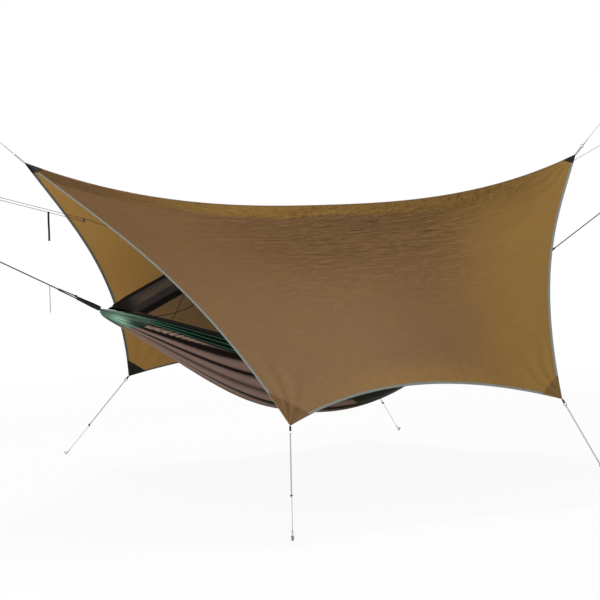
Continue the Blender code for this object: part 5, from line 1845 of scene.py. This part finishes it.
    def ends(self, end: End) -> tuple[Vector, Vector, Vector]:
        """Where a bed's end hangs.

        Args:
            end: Which end.

        Returns:
            The end's point, its tree and the way its rope pulls.
        """
        start = vec(np.array(self.left if end is End.LEFT else self.right) + ORIGIN)
        tree = Vector(self.tree_left if end is End.LEFT else self.tree_right)
        return start, tree, (tree - start).normalized()

    def make_sleeve(self, end: End) -> None:
        """Makes the whipped sleeve where a gathered end takes its rope.

        Args:
            end: Which end.
        """
        start, _, pull = self.ends(end)
        side = ACROSS
        up = pull.cross(side).normalized()
        # Its radius and place along the pull, in millimetres
        rows = np.array([(0.0, 0.3), (9.2, 0.3), (11.8, 1.2), (12.4, 4.0), (12.6, 39.0), (11.6, 66.0),
                         (10.0, 94.0), (9.3, 126.0), (8.2, 129.2), (0.0, 130.0)]) * MM
        shares, corners = np.linspace(0.0, 1.0, 131), np.linspace(0.0, 1.0, len(rows))
        girth, reach = (np.interp(shares, corners, rows[:, column]) for column in (0, 1))

        def surface(turn: Points, share: Points) -> Points:
            """Points for shares round the sleeve and along it."""
            angle = turn * math.tau
            far, wide = np.interp(share, shares, reach), np.interp(share, shares, girth)
            wound = np.where(wide > 7 * MM, self.whip_rise * np.sin(math.tau * (far / self.whip + turn)), 0.0)
            wide = np.clip(wide - self.whip_rise + wound, 0.0, None)
            return (np.array(start) + np.array(pull) * far[..., None]
                    + np.array(side) * (wide * np.cos(angle))[..., None]
                    + np.array(up) * (wide * np.sin(angle))[..., None])

        name = "end_sleeve_" + end.name.lower()
        made = cloth_sheet(name + "_whipping", surface, (28, 200), (self.sleeve_girth, self.sleeve_length),
                           self.looks.sleeve)
        place_piece(made, Body.HAMMOCK, [name])

    def make_rope(self, end: End, lines: Lines) -> None:
        """Makes a suspension rope, its second run and, on the left, its tail.

        Args:
            end: Which end.
            lines: The maker of cords and knots.
        """
        start, tree, pull = self.ends(end)
        side = ACROSS.cross(pull).normalized()
        knot_in = pull * (ROPE.knot_half * 0.5)
        face = start + pull * (self.sleeve_length + GAP)
        split = face + pull * self.rope_split
        spread, apart = side * (ROPE.radius * 1.25), side * (ROPE.radius * 0.9)
        upper = face + spread * 1.6 + pull * ROPE.knot_half
        last = tree - pull * lines.tree_eye
        name = "suspension_rope_" + end.name.lower()
        route = line_points(face - spread, split - apart - knot_in)
        route += line_points(split + knot_in, last - knot_in)
        route += eye(last + knot_in, tree, ACROSS, lines.tree_bar, ROPE)
        lines.lay(name + "_line", route, ROPE, self.looks.rope, Body.HAMMOCK, [(split, pull), (last, pull)],
                  [name], "rope")
        lines.lay(name + "_second_run", line_points(upper, split + apart - knot_in), ROPE, self.looks.rope,
                  Body.HAMMOCK, [(upper, pull)], (), "rope")
        if end is End.LEFT:
            top = split + pull * self.tail_from_split
            foot = top - Vector((0.0, 0.0, self.tail_length))
            lines.lay(name + "_tail", line_points(top, foot, 0.01), TAIL, self.looks.guy, Body.HAMMOCK,
                      (), (), "rope", "bare", "hanging")

    def build(self, lines: Lines) -> None:
        """Makes the bed, its sleeves and its ropes.

        Args:
            lines: The maker of cords and knots.
        """
        for end in End:
            self.make_rope(end, lines)
        self.make_cloth()
        for end in End:
            self.make_sleeve(end)


# Mosquito net


@dataclass
class Net:
    """The see-through net over the bed, its black tapes and its zip."""

    looks: Looks
    bed: Bed
    peak_left: Place = (-0.676, 0.0, -0.469)
    peak_right: Place = (0.700, 0.0, -0.453)
    margin: float = 0.02
    end_lift: float = 4 * MM
    slack: float = 25 * MM
    sway: float = 4 * MM
    half_gap: float = 1.6 * MM
    top_drop: float = 10 * MM
    tape_depth: float = 36 * MM
    tape_rise: float = 9 * MM
    tape_thick: float = 2.0 * MM
    corded_seams: tuple = (((0.097, 0.985), (0.225, 0.60)), ((0.158, 0.985), (0.182, 0.30)))
    corded_radius: float = 2.2 * MM
    eye_room: float = 8 * MM
    zip_length: float = 2.33
    zip_height: float = 12 * MM
    zip_thick: float = 1.2 * MM
    zip_out: float = 1.4 * MM
    zip_tooth: float = 4 * MM
    zip_from: float = 0.04
    bend_from: float = -0.02        # heights between which the net goes over from the pitch to the bed
    bend_to: float = -0.29
    rim_clear: float = 1.5 * MM
    flap: float = 0.032         # how far the zip's tape reaches down the band, as a share of the bed's half

    def ends(self) -> tuple[Points, Points]:
        """Where the net's top line starts and ends.

        Returns:
            Its left and right ends.
        """
        lift = np.array((0.0, 0.0, self.end_lift))
        left, right = (self.bed.chord(np.array(u)) + lift for u in (self.margin, 1.0 - self.margin))
        return left, right

    def top(self, a: Points) -> Points:
        """The net's top line: up to a peak, level, and down.

        Args:
            a: Shares along the net.

        Returns:
            Its points.
        """
        left, right = self.ends()
        corners = np.array([left, self.peak_left, self.peak_right, right])
        shares = (corners[:, 0] - left[0]) / (right[0] - left[0])
        return np.stack([np.interp(a, shares, corners[:, axis]) for axis in range(3)], axis=-1)

    def hem(self, a: Points, side: Side) -> Points:
        """The net's lower edge, above the zip or the far rim.

        Args:
            a: Shares along the net.
            side: Which panel.

        Returns:
            Its points.
        """
        u = self.margin + (1.0 - 2.0 * self.margin) * a
        points = self.bed.rim(u, side)
        points[..., 2] += self.rim_clear + (self.zip_height if side is Side.NEAR else 0.0)
        return points

    def sheet_points(self, a: Points, t: Points, side: Side) -> Points:
        """A net panel.

        Args:
            a: Shares along it.
            t: Shares down it.
            side: Which panel.

        Returns:
            Its points in the frame.
        """
        top = self.top(a) + np.array((0.0, side.value * self.half_gap, 0.0))
        top[..., 2] -= self.top_drop * (1.0 - 0.75 * smooth(0.035 - from_end(a), 0.0, 0.035))
        hang = np.sin(math.pi * t) * np.sin(math.pi * a)
        points = top * (1.0 - t[..., None]) + self.hem(a, side) * t[..., None]
        points[..., 1] -= side.value * self.slack * hang
        points[..., 1] += self.sway * np.sin(math.tau * (7.0 * a + 0.8 * t)) * hang
        return points + ORIGIN

    def make_panel(self, side: Side) -> tuple[Object, Pair, float]:
        """Makes one net panel.

        Args:
            side: Which panel.

        Returns:
            The panel, the size that it is cut to and its area.
        """
        def layers(a: Points, t: Points) -> Points:
            """Where the net is doubled or gathered."""
            below = from_end(a) * t
            tape = smooth(below, 0.0455, 0.0475) * smooth(0.0645 - below, 0.0, 0.002)
            turned = (0.34 + 0.3 * smooth(below, 0.027, 0.029)) * smooth(0.0645 - below, 0.0, 0.002)
            near_end = smooth(0.28 - from_end(a), 0.0, 0.01) * (side is Side.NEAR)
            gathered = 0.9 * smooth(0.085 - from_end(a), 0.0, 0.06)
            return np.maximum(np.maximum(tape, turned) * near_end, gathered)

        surface = partial(self.sheet_points, side=side)
        wide, tall, area = extent(surface, 100)
        name = "net_panel_" + side.name.lower()
        panel = cloth_sheet(name + "_netting", surface, (420, 100), (wide, tall), self.looks.net,
                            marks={"layers": layers})
        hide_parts(name)
        LOG.info("%s is cut from %.2f x %.2f m, %.2f square metres", panel.name, wide, tall, area)
        return panel, (wide, tall), area

    def make_fold_lines(self, end: End) -> list[Object]:
        """Makes the two corded seams that cross on the far panel near an end.

        Args:
            end: The net's end.

        Returns:
            The seams.
        """
        made = []
        for index, ((a_low, t_low), (a_high, t_high)) in enumerate(self.corded_seams):
            share = np.linspace(0.0, 1.0, 40)
            a, t = a_low + (a_high - a_low) * share, t_low + (t_high - t_low) * share
            points = self.sheet_points(a if end is End.LEFT else 1.0 - a, t, Side.FAR)
            points[:, 1] -= 2.5 * MM
            seam = swept(f"net_corded_seam_{end.name.lower()}_{index + 1}", points,
                         frames_along(points, Vector((0.1, 1.0, 0.2))), circle(self.corded_radius, 8),
                         self.looks.net_tape)
            made.append(seam)
        return made

    def make_tape(self, name: str, start: Points, end: Points, low: float = 0.0,
                  high: float = 1.0) -> Object:
        """Makes a tape that stands between the two panels.

        Args:
            name: The tape, as its solid is named.
            start: Where its line starts.
            end: Where it ends.
            low: The share of the line where the tape starts, slimmed down if it's past 0.
            high: The share where it ends, slimmed down if it's short of 1.

        Returns:
            The tape.
        """
        def surface(s: Points, t: Points) -> Points:
            """Points for shares along the tape and up it."""
            points = start + (end - start) * (low + (high - low) * s)[..., None]
            slimmed = smooth(0.16 - s, 0.0, 0.16) * (low > 0) + smooth(s - 0.84, 0.0, 0.16) * (high < 1)
            slim = 1.0 - 0.75 * slimmed
            points[..., 2] += (self.tape_rise - self.tape_depth * (1.0 - t) * slim
                               - self.tape_rise * (1.0 - slim))
            points[..., 1] += 0.5 * MM * np.sin(40.0 * s) * np.sin(math.pi * t)
            return points + ORIGIN

        long = float(np.linalg.norm(end - start))
        tape = cloth_sheet(name + "_tape", surface, (90, 8), (long, self.tape_depth), self.looks.net_tape,
                           self.tape_thick)
        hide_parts(name)
        return tape

    def make_zip(self) -> Object:
        """Makes the zip along the near rim: tape, coil and tape.

        Returns:
            The zip.
        """
        def surface(s: Points, t: Points) -> Points:
            """Points for shares along the zip and up it."""
            u = self.zip_from + (1.0 - 2.0 * self.zip_from) * s
            slim = 0.4 + 0.6 * smooth(from_end(s), 0.0, 0.05)
            down, over = (np.clip(way * (2.0 * t - 1.0), 0.0, 1.0) * slim for way in (-1.0, 1.0))
            coil = 0.9 * MM * np.exp(-((t - 0.75) / 0.07) ** 2)
            teeth = 0.25 * MM * np.sin(math.tau * s * self.zip_length / self.zip_tooth) * (
                np.abs(t - 0.75) < 0.07)
            points = self.bed.point(u, -1.0 + self.flap * down)
            points[..., 2] += (self.rim_clear + self.zip_height * over) * (t > 0.5)
            points[..., 1] -= coil + teeth + self.zip_out
            return points

        made = cloth_sheet("net_zip_coil_tape", surface, (900, 16), (self.zip_length, 2.0 * self.zip_height),
                           self.looks.zip_tape, self.zip_thick)
        return place_piece(made, Body.HAMMOCK, ["net_zip_tape"])

    def build(self) -> None:
        """Makes the net: its ridge tape rides on the pitch and its zip on the bed, and its panels, slopes and
        seams are baked in place.
        """
        left, right = self.ends()
        peaks = np.array(self.peak_left), np.array(self.peak_right)
        rise, fall = unit(peaks[0] - left) * self.eye_room, unit(right - peaks[1]) * self.eye_room
        slopes = [self.make_tape("net_slope_tape_left", left, peaks[0] - rise, 0.03),
                  self.make_tape("net_slope_tape_right", peaks[1] + fall, right, 0.0, 0.97)]
        ridge = self.make_tape("net_ridge_tape", peaks[0], peaks[1])
        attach(ridge, Body.PITCH.value)
        zipped = self.make_zip()
        seams = [seam for end in End for seam in self.make_fold_lines(end)]
        for side in Side:
            panel, size, area = self.make_panel(side)
            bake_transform(panel)
        for tape in slopes + seams:
            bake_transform(tape)
            LOG.info("%s bends between pitch and bed", tape.name)


def dress_hardware(looks: Looks) -> None:
    """Gives the solids that stay their finishes.

    Args:
        looks: The finishes.
    """
    finishes = {
        "tie_ring_ridge_left": looks.white_acetal, "tie_ring_near_left": looks.white_acetal,
        "tie_ring": looks.black_acetal, "guy_adjuster": looks.black_acetal,
        "net_cord_adjuster": looks.black_acetal, "net_zip_slider": looks.black_acetal,
        "bed_toggle": looks.black_acetal, "peg": looks.peg,
    }
    for name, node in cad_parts.items():
        if node.hide_render:
            continue
        look = next((finish for start, finish in finishes.items() if name.startswith(start)), None)
        if look is None:
            LOG.warning("%s has no finish", name)
            continue
        node.data.materials.clear()
        node.data.materials.append(look)
        LOG.info("%s is dressed in %s", name, look.name)


def main() -> None:
    """Builds the pitch from the camera and the cords to the cloth."""
    logging.basicConfig(level=logging.INFO, format="%(message)s")
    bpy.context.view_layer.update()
    Studio().build()
    looks = Looks()
    lines, tarp, bed = Lines(looks), Tarp(looks), Bed(looks)
    net = Net(looks, bed)
    lines.build(tarp, (net.peak_left, net.peak_right))
    bed.build(lines)
    tarp.build()
    net.build()
    dress_hardware(looks)


if __name__ == "__main__":
    main()
